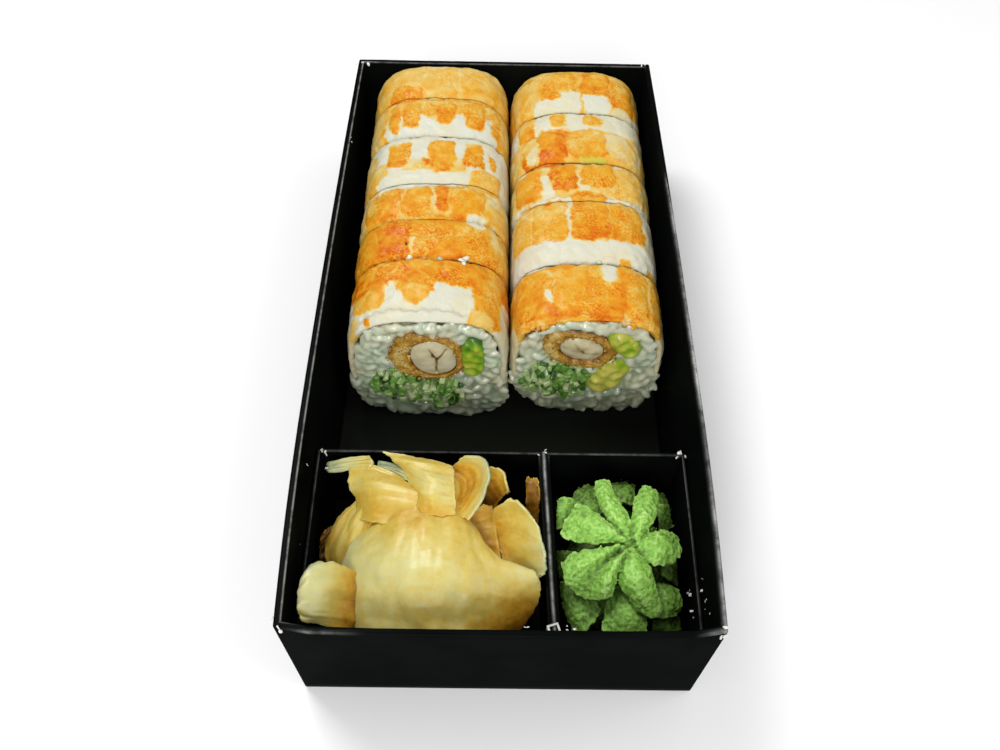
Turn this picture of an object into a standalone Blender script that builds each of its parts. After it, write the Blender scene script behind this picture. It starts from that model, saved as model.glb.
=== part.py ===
"""A takeaway tray of prawn-topped sushi rolls with pickled ginger and wasabi.

Metres, +Z up. The origin is the middle of the tray's underside, and -Y is the end with the ginger and wasabi.
"""
import itertools
import math
import random
from collections import namedtuple

import bmesh
import bpy
from mathutils import Matrix, Vector, noise

# Folded card tray
TRAY_WIDTH = 0.100
TRAY_LENGTH = 0.200
TRAY_HEIGHT = 0.045
TRAY_WALL = 0.0018
TRAY_FLOOR = 0.0010
RIM_ROUND = 0.0006
WALL_BOW = 0.0015
BOW_MIDDLE_Y = -0.042
FRONT_BOW = 0.0016
CORNER_RUN = 0.010
WALL_STEPS = 6
FOLD_ANGLE = math.radians(50)
GAP = 0.0003

# Folded card divider at the front of the tray
INSERT_BACK = -0.0464
INSERT_TOP = 0.0305
INSERT_SIDE = 0.0007
INSERT_FOLD = 0.0014
INSERT_FLOOR = 0.0007
INSERT_BOW_SHARE = 0.8
INSERT_STEPS = 3
DIVIDER_X = 0.0121
DIVIDER_MIDDLE_Y = -0.072
DIVIDER_SLANT = -0.035

# Sushi rolls, cut into slices that stand in two rows
ROLL_BOTTOM = TRAY_FLOOR + GAP
ROLL_MIDDLE_Z = 0.0240
PRAWN_SHEET = 0.0022
PRAWN_EDGE_Z = 0.0190
SLICE_EDGE = 0.0013
SIZE_SPREAD = 0.0006
FACE_LEAN = 0.0024
GRAIN_BUMP = 0.0008
GRAIN_SIZE = 0.0035
FACE_RINGS = (0.40, 0.66, 0.86)
STATIONS = (0.0, 0.14, 0.5, 0.86, 1.0)
SLANT_SPREAD = 0.0005
SHEET_LEDGE = math.radians(3.5)
FRONT_SIDES = (21, 15)
PLAIN_SIDES = (13, 9)
SEED = 41

Row = namedtuple("Row", "name middle half_width top corners seams")
# The corners are the powers of the outline's quarters: top right, top left, bottom left, bottom right.
# A seam is where a knife cut crosses the row, from the front face to the back of the tray.
ROWS = (
    Row("left", -0.0214, 0.0234, 0.0460, (3.2, 2.9, 3.0, 5.0),
        (-0.0148, 0.0085, 0.0240, 0.0395, 0.0610, 0.0800, 0.0965)),
    Row("right", 0.0247, 0.0224, 0.0450, (2.9, 3.0, 2.6, 3.4),
        (-0.0128, 0.0085, 0.0335, 0.0510, 0.0750, 0.0962)),
)

# Fillings of the two front slices: middle, half sizes, tilt in degrees, squareness, roughness, sides
Filling = namedtuple("Filling", "x z half_x half_z tilt power rough sides")
FILLINGS = {
    "left": {
        "prawn_core": Filling(-0.0196, 0.0290, 0.0063, 0.0074, 20, 2.2, 0.0003, 16),
        "batter": Filling(-0.0214, 0.0298, 0.0118, 0.0102, -20, 2.2, 0.0006, 24),
        "avocado": Filling(-0.0083, 0.0292, 0.0036, 0.0086, 0, 2.6, 0.0003, 16),
        "cucumber": Filling(-0.0247, 0.0155, 0.0134, 0.0068, -14, 2.6, 0.0006, 22),
    },
    "right": {
        "prawn_core": Filling(0.0228, 0.0314, 0.0063, 0.0044, -20, 2.2, 0.0003, 16),
        "batter": Filling(0.0221, 0.0315, 0.0110, 0.0075, -20, 2.2, 0.0006, 24),
        "avocado_top": Filling(0.0350, 0.0330, 0.0060, 0.0037, -50, 2.4, 0.0004, 14),
        "avocado_low": Filling(0.0316, 0.0190, 0.0050, 0.0080, -24, 2.6, 0.0003, 16),
        "cucumber": Filling(0.0166, 0.0172, 0.0102, 0.0074, -12, 2.6, 0.0006, 22),
    },
}

FILLING_SLOTS = {"avocado_top": "avocado", "avocado_low": "avocado"}
FILLING_PROUD = 0.0004
OUTLINE_WAVES = 2.2
NOISE_SPREAD = 200
WELL_SIDES = 48
WELL_ROOM = 0.0010
WELL_SEARCH = 0.028
CUTTER_REACH = 0.004

# Pickled ginger: thin slices that lie over a soft mound
GINGER_SLICE = 0.0014
GINGER_MOUND = ((-0.0175, -0.0735, 0.0172), (0.0240, 0.0205, 0.0175))
GINGER_UNEVEN = 0.25
# Each slice is the smooth sheet pulled by a net of points, in mm, row by row across the slice.
GINGER_SLICES = {
    "main": (
        ((-30, -62, 31), (-36, -71, 28), (-39, -78, 27), (-40, -85, 25), (-39, -96, 22)),
        ((-25, -62, 37), (-28, -72, 37), (-30, -80, 36), (-31, -88, 35), (-31, -99, 30)),
        ((-18, -62, 40), (-19, -73, 41), (-20, -81, 40), (-19, -89, 39), (-19, -100, 33)),
        ((-12, -64, 39), (-12, -74, 39), (-11, -81, 38), (-10, -88, 37), (-9, -99, 31)),
        ((-9, -72, 36), (-6, -78, 35), (-1, -83, 34), (0, -88, 33), (-2, -97, 27)),
        ((-6, -81, 33), (2, -82, 31), (12, -82, 34), (10, -88, 28), (3, -95, 21)),
    ),
    "right_curl": (
        ((-4, -63, 39), (1, -63, 42), (4, -63, 42), (9, -67, 40)),
        ((-3, -68, 34), (2, -69, 35), (6, -70, 37), (12, -74, 39)),
        ((-1, -74, 30), (3, -75, 30), (7, -76, 32), (12, -79, 36)),
        ((1, -81, 29), (5, -83, 28), (8, -84, 29), (12, -83, 33)),
    ),
    "curl_back": (
        ((-10, -68, 34), (-7, -64, 34), (-1, -63, 35)),
        ((-8, -72, 30), (-5, -70, 29), (0, -69, 31)),
        ((-6, -79, 30), (-2, -78, 27), (3, -79, 27)),
    ),
    "cup": (
        ((-11, -52, 38), (-4, -54, 42), (-2, -60, 43), (-5, -69, 42), (-9, -72, 38)),
        ((-12, -53, 35), (-7, -55, 37), (-5, -59, 38), (-7, -65, 38), (-10, -69, 36)),
        ((-14, -54, 33), (-10, -56, 33), (-9, -59, 33), (-10, -63, 34), (-12, -66, 35)),
        ((-16, -55, 37), (-14, -58, 38), (-12, -60, 39), (-12, -64, 39), (-13, -68, 39)),
    ),
    "spike": (
        ((-33, -48, 35), (-25, -51, 36), (-17, -53, 38), (-11, -55, 38)),
        ((-28, -52, 35), (-22, -56, 39), (-17, -59, 41), (-12, -58, 38)),
        ((-22, -58, 35), (-20, -62, 39), (-16, -64, 41), (-11, -64, 39)),
        ((-21, -67, 35), (-19, -69, 38), (-15, -70, 39), (-10, -70, 38)),
    ),
    "back_left": (
        ((-41, -53, 31), (-37, -51, 33), (-32, -54, 34), (-28, -57, 34)),
        ((-39, -56, 30), (-35, -57, 35), (-30, -58, 36), (-24, -59, 37)),
        ((-38, -61, 29), (-33, -62, 35), (-28, -63, 37), (-22, -64, 38)),
        ((-36, -66, 26), (-31, -68, 32), (-26, -70, 35), (-20, -70, 36)),
    ),
    "thin_tip": (
        ((-47, -50, 29), (-43, -49, 31), (-39, -49, 32), (-33, -50, 34)),
        ((-46, -53, 29), (-42, -53, 30), (-38, -53, 31), (-33, -55, 34)),
    ),
    "left_ragged": (
        ((-35, -58, 28), (-42, -63, 26), (-43, -68, 25), (-45, -72, 24), (-44, -76, 23)),
        ((-33, -62, 31), (-37, -66, 30), (-38, -70, 29), (-39, -74, 28), (-40, -78, 26)),
        ((-29, -64, 32), (-32, -69, 31), (-34, -73, 29), (-36, -77, 27), (-37, -81, 25)),
    ),
    "front_left": (
        ((-50, -87, 37), (-47, -81, 39), (-43, -81, 38), (-38, -79, 33), (-34, -80, 27)),
        ((-49, -92, 39), (-45, -89, 41), (-41, -88, 40), (-37, -86, 33), (-33, -86, 26)),
        ((-48, -95, 39), (-44, -94, 41), (-41, -93, 39), (-37, -91, 31), (-33, -91, 24)),
        ((-47, -99, 36), (-43, -100, 38), (-40, -99, 35), (-37, -97, 28), (-33, -97, 21)),
    ),
    "brown_bit": (
        ((6, -54, 31), (9, -54, 31), (12, -56, 31)),
        ((7, -59, 27), (9, -59, 28), (11, -61, 28)),
        ((6, -64, 22), (8, -65, 22), (11, -67, 23)),
        ((1, -70, 17), (4, -71, 17), (8, -71, 18)),
    ),
    "behind_cup": (
        ((-4, -52, 34), (1, -55, 36), (3, -62, 35)),
        ((-4, -56, 31), (-2, -57, 31), (0, -60, 31)),
        ((-7, -60, 26), (-5, -62, 26), (-3, -64, 26)),
    ),
}

# Wasabi: a piped flower with petals in two tiers
WASABI_MIDDLE = (0.0312, -0.0725)
Petal = namedtuple("Petal", "angle length width thick foot droop ridges")
# The angle is in degrees from +X, and the foot is the height at which the petal leaves the middle.
PETALS = (
    Petal(114, 0.0205, 0.0100, 0.0075, 0.0290, -4, 1),
    Petal(66, 0.0185, 0.0095, 0.0075, 0.0280, 4, 2),
    Petal(-6, 0.0160, 0.0140, 0.0090, 0.0270, 12, 1),
    Petal(-66, 0.0200, 0.0125, 0.0095, 0.0285, 12, 2),
    Petal(-132, 0.0195, 0.0175, 0.0100, 0.0295, 8, 3),
    Petal(158, 0.0185, 0.0135, 0.0085, 0.0295, 4, 2),
    Petal(146, 0.0210, 0.0115, 0.0085, 0.0240, 4, 1),
    Petal(92, 0.0215, 0.0120, 0.0090, 0.0205, 8, 2),
    Petal(40, 0.0198, 0.0130, 0.0090, 0.0205, 8, 2),
    Petal(10, 0.0158, 0.0130, 0.0090, 0.0190, 8, 2),
    Petal(-32, 0.0182, 0.0130, 0.0090, 0.0200, 10, 2),
    Petal(-62, 0.0240, 0.0120, 0.0090, 0.0160, 6, 2),
    Petal(-98, 0.0240, 0.0140, 0.0095, 0.0225, 8, 2),
    Petal(-146, 0.0205, 0.0130, 0.0090, 0.0215, 8, 2),
    Petal(-178, 0.0165, 0.0120, 0.0090, 0.0190, 8, 2),
)
GROOVE_DEPTH = 0.0018
PETAL_FOOT = 0.35
PETAL_WIDEN = 1.5
PETAL_ARCH = 0.0061
PETAL_RINGS = 7
SMOOTH_PETAL_SIDES = 10
RIDGED_PETAL_SIDES = 14
PETAL_WAVES = 4
WASABI_CORE = 0.0105
WASABI_CORE_HEIGHT = 0.0312
WASABI_UNEVEN = 0.15
MOUND_WAVES = 2
FOOD_GIVE = 0.0012
FOOD_CLEAR = 0.0010
TOUCH_PART = 0.2
LEAST_EDGE = 0.00005

COLORS = {
    "black_card": ((0.012, 0.013, 0.012), 0.45),
    "sushi_rice": ((0.62, 0.64, 0.56), 0.45),
    "cooked_prawn": ((0.85, 0.42, 0.12), 0.42),
    "prawn_core": ((0.80, 0.68, 0.50), 0.50),
    "batter": ((0.50, 0.27, 0.08), 0.70),
    "avocado": ((0.45, 0.55, 0.12), 0.45),
    "cucumber": ((0.18, 0.38, 0.14), 0.40),
    "pickled_ginger": ((0.80, 0.66, 0.28), 0.35),
    "wasabi": ((0.25, 0.50, 0.16), 0.60),
}


def clear_scene():
    for old in list(bpy.data.objects):
        bpy.data.objects.remove(old, do_unlink=True)


def new_collection(name):
    collection = bpy.data.collections.new(name)
    bpy.context.scene.collection.children.link(collection)
    return collection


def make_material(name):
    color, roughness = COLORS[name]
    material = bpy.data.materials.new(name)
    material.use_nodes = True
    shader = material.node_tree.nodes["Principled BSDF"]
    shader.inputs["Base Color"].default_value = (*color, 1.0)
    shader.inputs["Roughness"].default_value = roughness
    shader.inputs["Metallic"].default_value = 0.0
    return material


def finish_mesh(name, bm, collection, material=None):
    """Put a bmesh on a new object, with its faces pointing out."""
    bmesh.ops.recalc_face_normals(bm, faces=bm.faces[:])
    if bm.calc_volume(signed=True) < 0:
        bmesh.ops.reverse_faces(bm, faces=bm.faces[:])
    mesh = bpy.data.meshes.new(name)
    bm.to_mesh(mesh)
    bm.free()
    piece = bpy.data.objects.new(name, mesh)
    collection.objects.link(piece)
    if material:
        mesh.materials.append(material)
    return piece


def make_cutter(piece):
    piece.hide_render = True
    piece.display_type = "WIRE"


def cut(piece, cutter):
    boolean = piece.modifiers.new("cut_" + cutter.name, "BOOLEAN")
    boolean.operation = "DIFFERENCE"
    boolean.solver = "EXACT"
    boolean.object = cutter


# Tray and divider


def bow(y, z):
    """How far a long side wall leans outwards at a place along and up the tray."""
    half = TRAY_LENGTH / 2
    reach = BOW_MIDDLE_Y + half if y < BOW_MIDDLE_Y else half - BOW_MIDDLE_Y
    along = (y - BOW_MIDDLE_Y) / reach
    return WALL_BOW * max(0.0, 1 - along * along) * z / TRAY_HEIGHT


def front_bow(x, z):
    """How far the front wall leans outwards at a place across and up the tray."""
    fade = min(1.0, (TRAY_WIDTH / 2 - abs(x)) / CORNER_RUN)
    return FRONT_BOW * max(0.0, fade) * z / TRAY_HEIGHT


def even_steps(start, end, count):
    return [start + (end - start) * step / count for step in range(count + 1)]


def slice_box(bm, axis, places):
    """Cut loops into a box at places along an axis."""
    normal = Vector((0, 0, 0))
    normal[axis] = 1
    for place in places:
        geom = bm.verts[:] + bm.edges[:] + bm.faces[:]
        bmesh.ops.bisect_plane(bm, geom=geom, plane_co=normal * place, plane_no=normal)


def card_box(name, x_lines, y_lines, base, floor_top, rim, is_wall):
    """A floor plate whose cells on the wall lines are drawn up to the rim."""
    bm = bmesh.new()
    bmesh.ops.create_cube(bm, size=1.0)
    size = Vector((x_lines[-1] - x_lines[0], y_lines[-1] - y_lines[0], floor_top - base))
    middle = Vector((x_lines[-1] + x_lines[0], y_lines[-1] + y_lines[0], floor_top + base)) / 2
    bmesh.ops.scale(bm, vec=size, verts=bm.verts[:])
    bmesh.ops.translate(bm, vec=middle, verts=bm.verts[:])
    slice_box(bm, 0, x_lines[1:-1])
    slice_box(bm, 1, y_lines[1:-1])
    cells = [face for face in bm.faces if face.normal.z > 0.9 and is_wall(face.calc_center_median())]
    drawn = bmesh.ops.extrude_face_region(bm, geom=cells)
    for item in drawn["geom"]:
        if isinstance(item, bmesh.types.BMVert):
            item.co.z = rim
    bmesh.ops.delete(bm, geom=cells, context="FACES")
    return bm


def round_edges(piece, width, segments):
    bevel = piece.modifiers.new("rounded_folds", "BEVEL")
    bevel.width = width
    bevel.segments = segments
    bevel.limit_method = "ANGLE"
    bevel.angle_limit = FOLD_ANGLE


def make_tray(collection, material):
    half_width = TRAY_WIDTH / 2
    half_length = TRAY_LENGTH / 2
    inner_x = half_width - TRAY_WALL
    inner_y = half_length - TRAY_WALL
    bow_x = half_width - CORNER_RUN
    x_lines = (-half_width, -inner_x, -bow_x, bow_x, inner_x, half_width)
    y_lines = (-half_length, *even_steps(-inner_y, inner_y, WALL_STEPS), half_length)
    bm = card_box("tray", x_lines, y_lines, 0.0, TRAY_FLOOR, TRAY_HEIGHT,
                  lambda spot: abs(spot.x) > inner_x or abs(spot.y) > inner_y)
    for vert in bm.verts:
        x, y, z = vert.co
        if z > TRAY_FLOOR and y < -inner_y + GAP:
            vert.co.y -= front_bow(x, z)
        vert.co.x += math.copysign(bow(y, z), x)
    tray = finish_mesh("tray", bm, collection, material)
    round_edges(tray, RIM_ROUND, 2)
    return tray


def divider_x(y):
    return DIVIDER_X + DIVIDER_SLANT * (y - DIVIDER_MIDDLE_Y)


def make_insert(collection, material):
    outer_x = TRAY_WIDTH / 2 - TRAY_WALL - GAP
    inner_x = outer_x - INSERT_SIDE
    front = -TRAY_LENGTH / 2 + TRAY_WALL + GAP
    inner_front = front + INSERT_SIDE
    inner_back = INSERT_BACK - INSERT_FOLD
    half_fold = INSERT_FOLD / 2
    bow_x = TRAY_WIDTH / 2 - CORNER_RUN
    x_lines = (-outer_x, -inner_x, -bow_x, -half_fold, half_fold, bow_x, inner_x, outer_x)
    y_lines = (front, *even_steps(inner_front, inner_back, INSERT_STEPS), INSERT_BACK)
    base = TRAY_FLOOR + GAP

    def is_wall(spot):
        at_side = abs(spot.x) > inner_x or spot.y < inner_front or spot.y > inner_back
        return at_side or abs(spot.x) < half_fold

    bm = card_box("divider_insert", x_lines, y_lines, base, base + INSERT_FLOOR, INSERT_TOP, is_wall)
    for vert in bm.verts:
        x, y, z = vert.co
        if z > base + INSERT_FLOOR and y < inner_front + GAP:
            vert.co.y -= front_bow(x, z) * INSERT_BOW_SHARE
        if abs(x) < 2 * half_fold:
            vert.co.x += divider_x(y)
        elif abs(x) > bow_x + GAP and z > base + INSERT_FLOOR:
            vert.co.x += math.copysign(bow(y, z) * INSERT_BOW_SHARE, x)
    insert = finish_mesh("divider_insert", bm, collection, material)
    round_edges(insert, INSERT_SIDE / 4, 1)
    return insert


# Rolls


def section(row, angle, inset):
    """A point on the roll's cross-section, moved inwards by inset."""
    across, up = math.cos(angle), math.sin(angle)
    power = row.corners[int(angle / (math.pi / 2)) % 4]
    half_height = row.top - ROLL_MIDDLE_Z if up >= 0 else ROLL_MIDDLE_Z - ROLL_BOTTOM
    x = math.copysign(abs(across) ** (2 / power), across) * row.half_width
    z = math.copysign(abs(up) ** (2 / power), up) * half_height
    normal = Vector((math.copysign(abs(across) ** (2 - 2 / power), across) / row.half_width,
                     math.copysign(abs(up) ** (2 - 2 / power), up) / half_height)).normalized()
    return row.middle + x - inset * normal.x, ROLL_MIDDLE_Z + z - inset * normal.y


def edge_angle(row, power):
    """How far below the roll's middle, as an angle, the prawn sheet's lower edge lies."""
    share = (ROLL_MIDDLE_Z - PRAWN_EDGE_Z) / (ROLL_MIDDLE_Z - ROLL_BOTTOM)
    return math.asin(share ** (power / 2))


def ring_angles(row, covered, bare):
    """Angles round the section: first those under the prawn sheet, then the bare rice below it."""
    right = -edge_angle(row, row.corners[3])
    left = math.pi + edge_angle(row, row.corners[2])
    over = [right + (left - right) * step / (covered - 1) for step in range(covered)]
    start, end = left + SHEET_LEDGE, right + 2 * math.pi - SHEET_LEDGE
    under = [start + (end - start) * step / (bare - 1) for step in range(bare)]
    return over + under


def cut_y(row, index, x, z, slants):
    """Where a cut lies at a spot: nearly square across, and leaning out at the foot of the front face."""
    across = (x - row.middle) / row.half_width
    lean = FACE_LEAN * (row.top - z) / row.top if index == 0 else 0.0
    return row.seams[index] + slants[index] * across - lean


def edge_inset(share):
    """A slice's rounded ends: how far its skin draws in at a share of its length."""
    return SLICE_EDGE * abs(2 * share - 1) ** 4


def slice_ring(row, index, share, angles, insets, slants):
    """A closed ring of points round a slice at a share of its length."""
    ring = []
    for angle, inset in zip(angles, insets):
        x, z = section(row, angle, inset + edge_inset(share))
        front = cut_y(row, index, x, z, slants) + GAP / 2
        back = cut_y(row, index + 1, x, z, slants) - GAP / 2
        ring.append(Vector((x, front + (back - front) * share, z)))
    return ring


def join_rings(bm, rings, closed=True):
    """Faces between rings that have the same number of points."""
    made = [[bm.verts.new(point) for point in ring] for ring in rings]
    for low, high in zip(made, made[1:]):
        count = len(low)
        for step in range(count if closed else count - 1):
            after = (step + 1) % count
            bm.faces.new((low[step], low[after], high[after], high[step]))
    return made


def close_ring(bm, ring, spot):
    """A fan from a ring to one spot."""
    tip = bm.verts.new(spot)
    for step, vert in enumerate(ring):
        bm.faces.new((vert, ring[(step + 1) % len(ring)], tip))


def grain_face(row, ring, slants):
    """Rings that fill the front face, with bumps the size of rice grains."""
    middle = Vector((row.middle, 0, ROLL_MIDDLE_Z))
    rings = []
    for share in FACE_RINGS:
        inner = []
        for point in ring:
            spot = middle.lerp(point, share)
            spot.y = cut_y(row, 0, spot.x, spot.z, slants)
            spot.y += GRAIN_BUMP * noise.noise(Vector((spot.x, 0, spot.z)) / GRAIN_SIZE)
            inner.append(spot)
        rings.append(inner)
    return rings


def make_rice(row, index, angles, covered, size_inset, slants, collection, material):
    """The rice of one slice, sunk under the prawn sheet and full width below it."""
    depth = PRAWN_SHEET + GAP
    insets = [size_inset + (depth if step < covered else 0.0) for step in range(len(angles))]
    rings = [slice_ring(row, index, share, angles, insets, slants) for share in STATIONS]
    middle = Vector((row.middle, 0, ROLL_MIDDLE_Z))
    front, back = middle.copy(), middle.copy()
    front.y = cut_y(row, index, middle.x, middle.z, slants) + GAP / 2
    back.y = cut_y(row, index + 1, middle.x, middle.z, slants) - GAP / 2
    if index == 0:
        rings = grain_face(row, rings[0], slants) + rings
    bm = bmesh.new()
    made = join_rings(bm, rings)
    close_ring(bm, made[0], front)
    close_ring(bm, made[-1], back)
    return finish_mesh(f"{row.name}_slice_{index + 1}_rice", bm, collection, material)


def make_prawn(row, index, angles, covered, size_inset, slants, collection, material):
    """The cooked prawn that lies over one slice's top and sides as one bent sheet."""
    bm = bmesh.new()
    over = angles[:covered]
    skins = []
    for depth in (0.0, PRAWN_SHEET):
        insets = [size_inset + depth] * covered
        skins.append([slice_ring(row, index, share, over, insets, slants) for share in STATIONS])
    outer = join_rings(bm, skins[0], closed=False)
    inner = join_rings(bm, skins[1], closed=False)
    for first, second in ((outer[0], inner[0]), (outer[-1], inner[-1])):
        for step in range(covered - 1):
            bm.faces.new((first[step], first[step + 1], second[step + 1], second[step]))
    for side in (0, -1):
        for station in range(len(STATIONS) - 1):
            near, far = station, station + 1
            bm.faces.new((outer[near][side], outer[far][side], inner[far][side], inner[near][side]))
    return finish_mesh(f"{row.name}_slice_{index + 1}_prawn", bm, collection, material)


# Fillings of the front slices


def outline_radius(filling, angle, grow=0.0):
    """The distance from a filling's middle to its edge, in its own untilted directions."""
    across = abs(math.cos(angle)) / (filling.half_x + grow)
    up = abs(math.sin(angle)) / (filling.half_z + grow)
    even = (across ** filling.power + up ** filling.power) ** (-1 / filling.power)
    spot = Vector((math.cos(angle), math.sin(angle), filling.x * NOISE_SPREAD))
    return even + filling.rough * noise.noise(spot * OUTLINE_WAVES)


def is_inside(filling, x, z, grow):
    tilt = math.radians(filling.tilt)
    across = (x - filling.x) * math.cos(tilt) + (z - filling.z) * math.sin(tilt)
    up = (z - filling.z) * math.cos(tilt) - (x - filling.x) * math.sin(tilt)
    return math.hypot(across, up) < outline_radius(filling, math.atan2(up, across), grow)


def prism(name, outline, sides, front, back, collection, material=None):
    """A cylinder whose rim follows an outline, and whose ends lie on the surfaces front and back."""
    bm = bmesh.new()
    bmesh.ops.create_cone(bm, cap_ends=True, cap_tris=True, segments=sides, radius1=1, radius2=1, depth=2)
    for vert in bm.verts:
        share = math.hypot(vert.co.x, vert.co.y)
        x, z = outline(math.atan2(vert.co.y, vert.co.x), share)
        vert.co = (x, front(x, z) if vert.co.z < 0 else back(x, z), z)
    return finish_mesh(name, bm, collection, material)


def filling_outline(filling, grow):
    tilt = math.radians(filling.tilt)

    def outline(angle, share):
        radius = outline_radius(filling, angle, grow) * share
        across, up = radius * math.cos(angle), radius * math.sin(angle)
        return (filling.x + across * math.cos(tilt) - up * math.sin(tilt),
                filling.z + across * math.sin(tilt) + up * math.cos(tilt))

    return outline


def well_outline(fillings):
    """The edge of the hollow in the rice: the outermost reach of any filling, with a gap to it."""
    middle_x = sum(filling.x for filling in fillings) / len(fillings)
    middle_z = sum(filling.z for filling in fillings) / len(fillings)

    def reach(angle):
        radius = WELL_SEARCH
        while radius > 0:
            x = middle_x + radius * math.cos(angle)
            z = middle_z + radius * math.sin(angle)
            if any(is_inside(filling, x, z, WELL_ROOM) for filling in fillings):
                return radius + GAP / 2
            radius -= GAP / 2
        return GAP

    def outline(angle, share):
        radius = reach(angle) * share if share else 0.0
        return middle_x + radius * math.cos(angle), middle_z + radius * math.sin(angle)

    return outline


def make_fillings(row, rice, slants, parts, cutters, materials):
    """The prawn in its batter, the avocado and the cucumber, each running through the front slice."""
    fillings = FILLINGS[row.name]
    rooms = []

    def face(x, z):
        return cut_y(row, 0, x, z, slants) + GAP / 2 - FILLING_PROUD

    def rear(x, z):
        return cut_y(row, 1, x, z, slants) - GAP

    def before(x, z):
        return face(x, z) - CUTTER_REACH

    def behind(x, z):
        return rear(x, z) + CUTTER_REACH

    for kind, filling in fillings.items():
        name = f"{row.name}_front_{kind}"
        material = materials[FILLING_SLOTS.get(kind, kind)]
        piece = prism(name, filling_outline(filling, 0.0), filling.sides, face, rear, parts, material)
        for room in rooms:
            cut(piece, room)
        room = prism(name + "_room", filling_outline(filling, GAP), filling.sides, before, behind, cutters)
        make_cutter(room)
        rooms.append(room)
    outline = well_outline(list(fillings.values()))
    well = prism(f"{row.name}_well", outline, WELL_SIDES, before, behind, cutters)
    make_cutter(well)
    cut(rice, well)


def make_rolls(parts, cutters, materials):
    draws = random.Random(SEED)
    for row in ROWS:
        slants = [draws.uniform(-1, 1) * SLANT_SPREAD for _ in row.seams]
        for index in range(len(row.seams) - 1):
            covered, bare = PLAIN_SIDES if index else FRONT_SIDES
            angles = ring_angles(row, covered, bare)
            size_inset = draws.uniform(0, SIZE_SPREAD)
            rice = make_rice(row, index, angles, covered, size_inset, slants, parts, materials["sushi_rice"])
            make_prawn(row, index, angles, covered, size_inset, slants, parts, materials["cooked_prawn"])
            if index == 0:
                make_fillings(row, rice, slants, parts, cutters, materials)


# Ginger and wasabi


def fuse(name, pieces, parts):
    """Join pieces that overlap into one closed body, and drop what is sealed inside it or loose."""
    others = new_collection(name + "_pieces")
    core = pieces[0]
    for piece in pieces[1:]:
        piece.users_collection[0].objects.unlink(piece)
        others.objects.link(piece)
    union = core.modifiers.new("fuse", "BOOLEAN")
    union.operation = "UNION"
    union.operand_type = "COLLECTION"
    union.collection = others
    union.solver = "MANIFOLD"
    bpy.context.view_layer.update()
    evaluated = core.evaluated_get(bpy.context.evaluated_depsgraph_get())
    bm = bmesh.new()
    bm.from_mesh(bpy.data.meshes.new_from_object(evaluated))
    bmesh.ops.triangulate(bm, faces=bm.faces[:])
    clear_slivers(bm)
    part_touching_corners(bm)
    keep_largest(bm)
    core.modifiers.clear()
    material = core.data.materials[0]
    for piece in pieces:
        bpy.data.objects.remove(piece, do_unlink=True)
    bpy.data.collections.remove(others)
    return finish_mesh(name, bm, parts, material)


def face_fans(vert):
    """The faces round a corner, in groups that are joined edge to edge."""
    left = set(vert.link_faces)
    fans = []
    while left:
        fan = [left.pop()]
        for face in fan:
            for edge in face.edges:
                for neighbour in edge.link_faces:
                    if vert in edge.verts and neighbour in left:
                        left.remove(neighbour)
                        fan.append(neighbour)
        fans.append(fan)
    return fans


def clear_slivers(bm):
    """Close the tiny edges that the union leaves, and those along which two petals or slices only touch."""
    found = True
    while found:
        bmesh.ops.dissolve_degenerate(bm, dist=LEAST_EDGE, edges=bm.edges[:])
        bmesh.ops.triangulate(bm, faces=bm.faces[:])
        found = [edge for edge in bm.edges if len(edge.link_faces) > 2]
        bmesh.ops.collapse(bm, edges=found)


def part_touching_corners(bm):
    """Where two parts of the skin meet only at a corner, give each a corner of its own."""
    for vert in list(bm.verts):
        for fan in face_fans(vert)[1:]:
            middle = sum((face.calc_center_median() for face in fan), Vector()) / len(fan)
            twin = bm.verts.new(vert.co.lerp(middle, TOUCH_PART))
            for face in fan:
                bm.faces.new([twin if corner is vert else corner for corner in face.verts])
            bmesh.ops.delete(bm, geom=fan, context="FACES")


def keep_largest(bm):
    """Delete every shell but the one with the most faces."""
    left = set(bm.faces)
    shells = []
    while left:
        shell = {left.pop()}
        front = list(shell)
        while front:
            face = front.pop()
            for edge in face.edges:
                for neighbour in edge.link_faces:
                    if neighbour in left:
                        left.remove(neighbour)
                        shell.add(neighbour)
                        front.append(neighbour)
        shells.append(shell)
    shells.sort(key=len)
    for shell in shells[:-1]:
        bmesh.ops.delete(bm, geom=list(shell), context="FACES")
    bmesh.ops.delete(bm, geom=[edge for edge in bm.edges if not edge.link_faces], context="EDGES")
    bmesh.ops.delete(bm, geom=[vert for vert in bm.verts if not vert.link_edges], context="VERTS")


def hold_between(value, low, high, give):
    """Press a coordinate smoothly back from two limits, as soft food is pressed by a wall."""
    if value > high - give:
        return high - give * math.exp(-(value - high + give) / give)
    if value < low + give:
        return low + give * math.exp(-(low + give - value) / give)
    return value


def press_into_compartment(point, side):
    """Keep a point of the food between the divider, the side wall, the ends and the floor."""
    wall = TRAY_WIDTH / 2 - TRAY_WALL + bow(point.y, min(point.z, INSERT_TOP)) - FOOD_CLEAR
    if point.z < INSERT_TOP + FOOD_CLEAR:
        wall -= INSERT_SIDE + GAP
    fold = divider_x(point.y) + side * (INSERT_FOLD / 2 + FOOD_CLEAR)
    low_x, high_x = (-wall, fold) if side < 0 else (fold, wall)
    front = -TRAY_LENGTH / 2 + TRAY_WALL + GAP + INSERT_SIDE + FOOD_CLEAR
    back = INSERT_BACK - INSERT_FOLD - FOOD_CLEAR
    floor = TRAY_FLOOR + GAP + INSERT_FLOOR + FOOD_CLEAR
    point.x = hold_between(point.x, low_x, high_x, FOOD_GIVE)
    point.y = hold_between(point.y, front, back, FOOD_GIVE)
    point.z = hold_between(point.z, floor, TRAY_HEIGHT, FOOD_GIVE)


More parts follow.
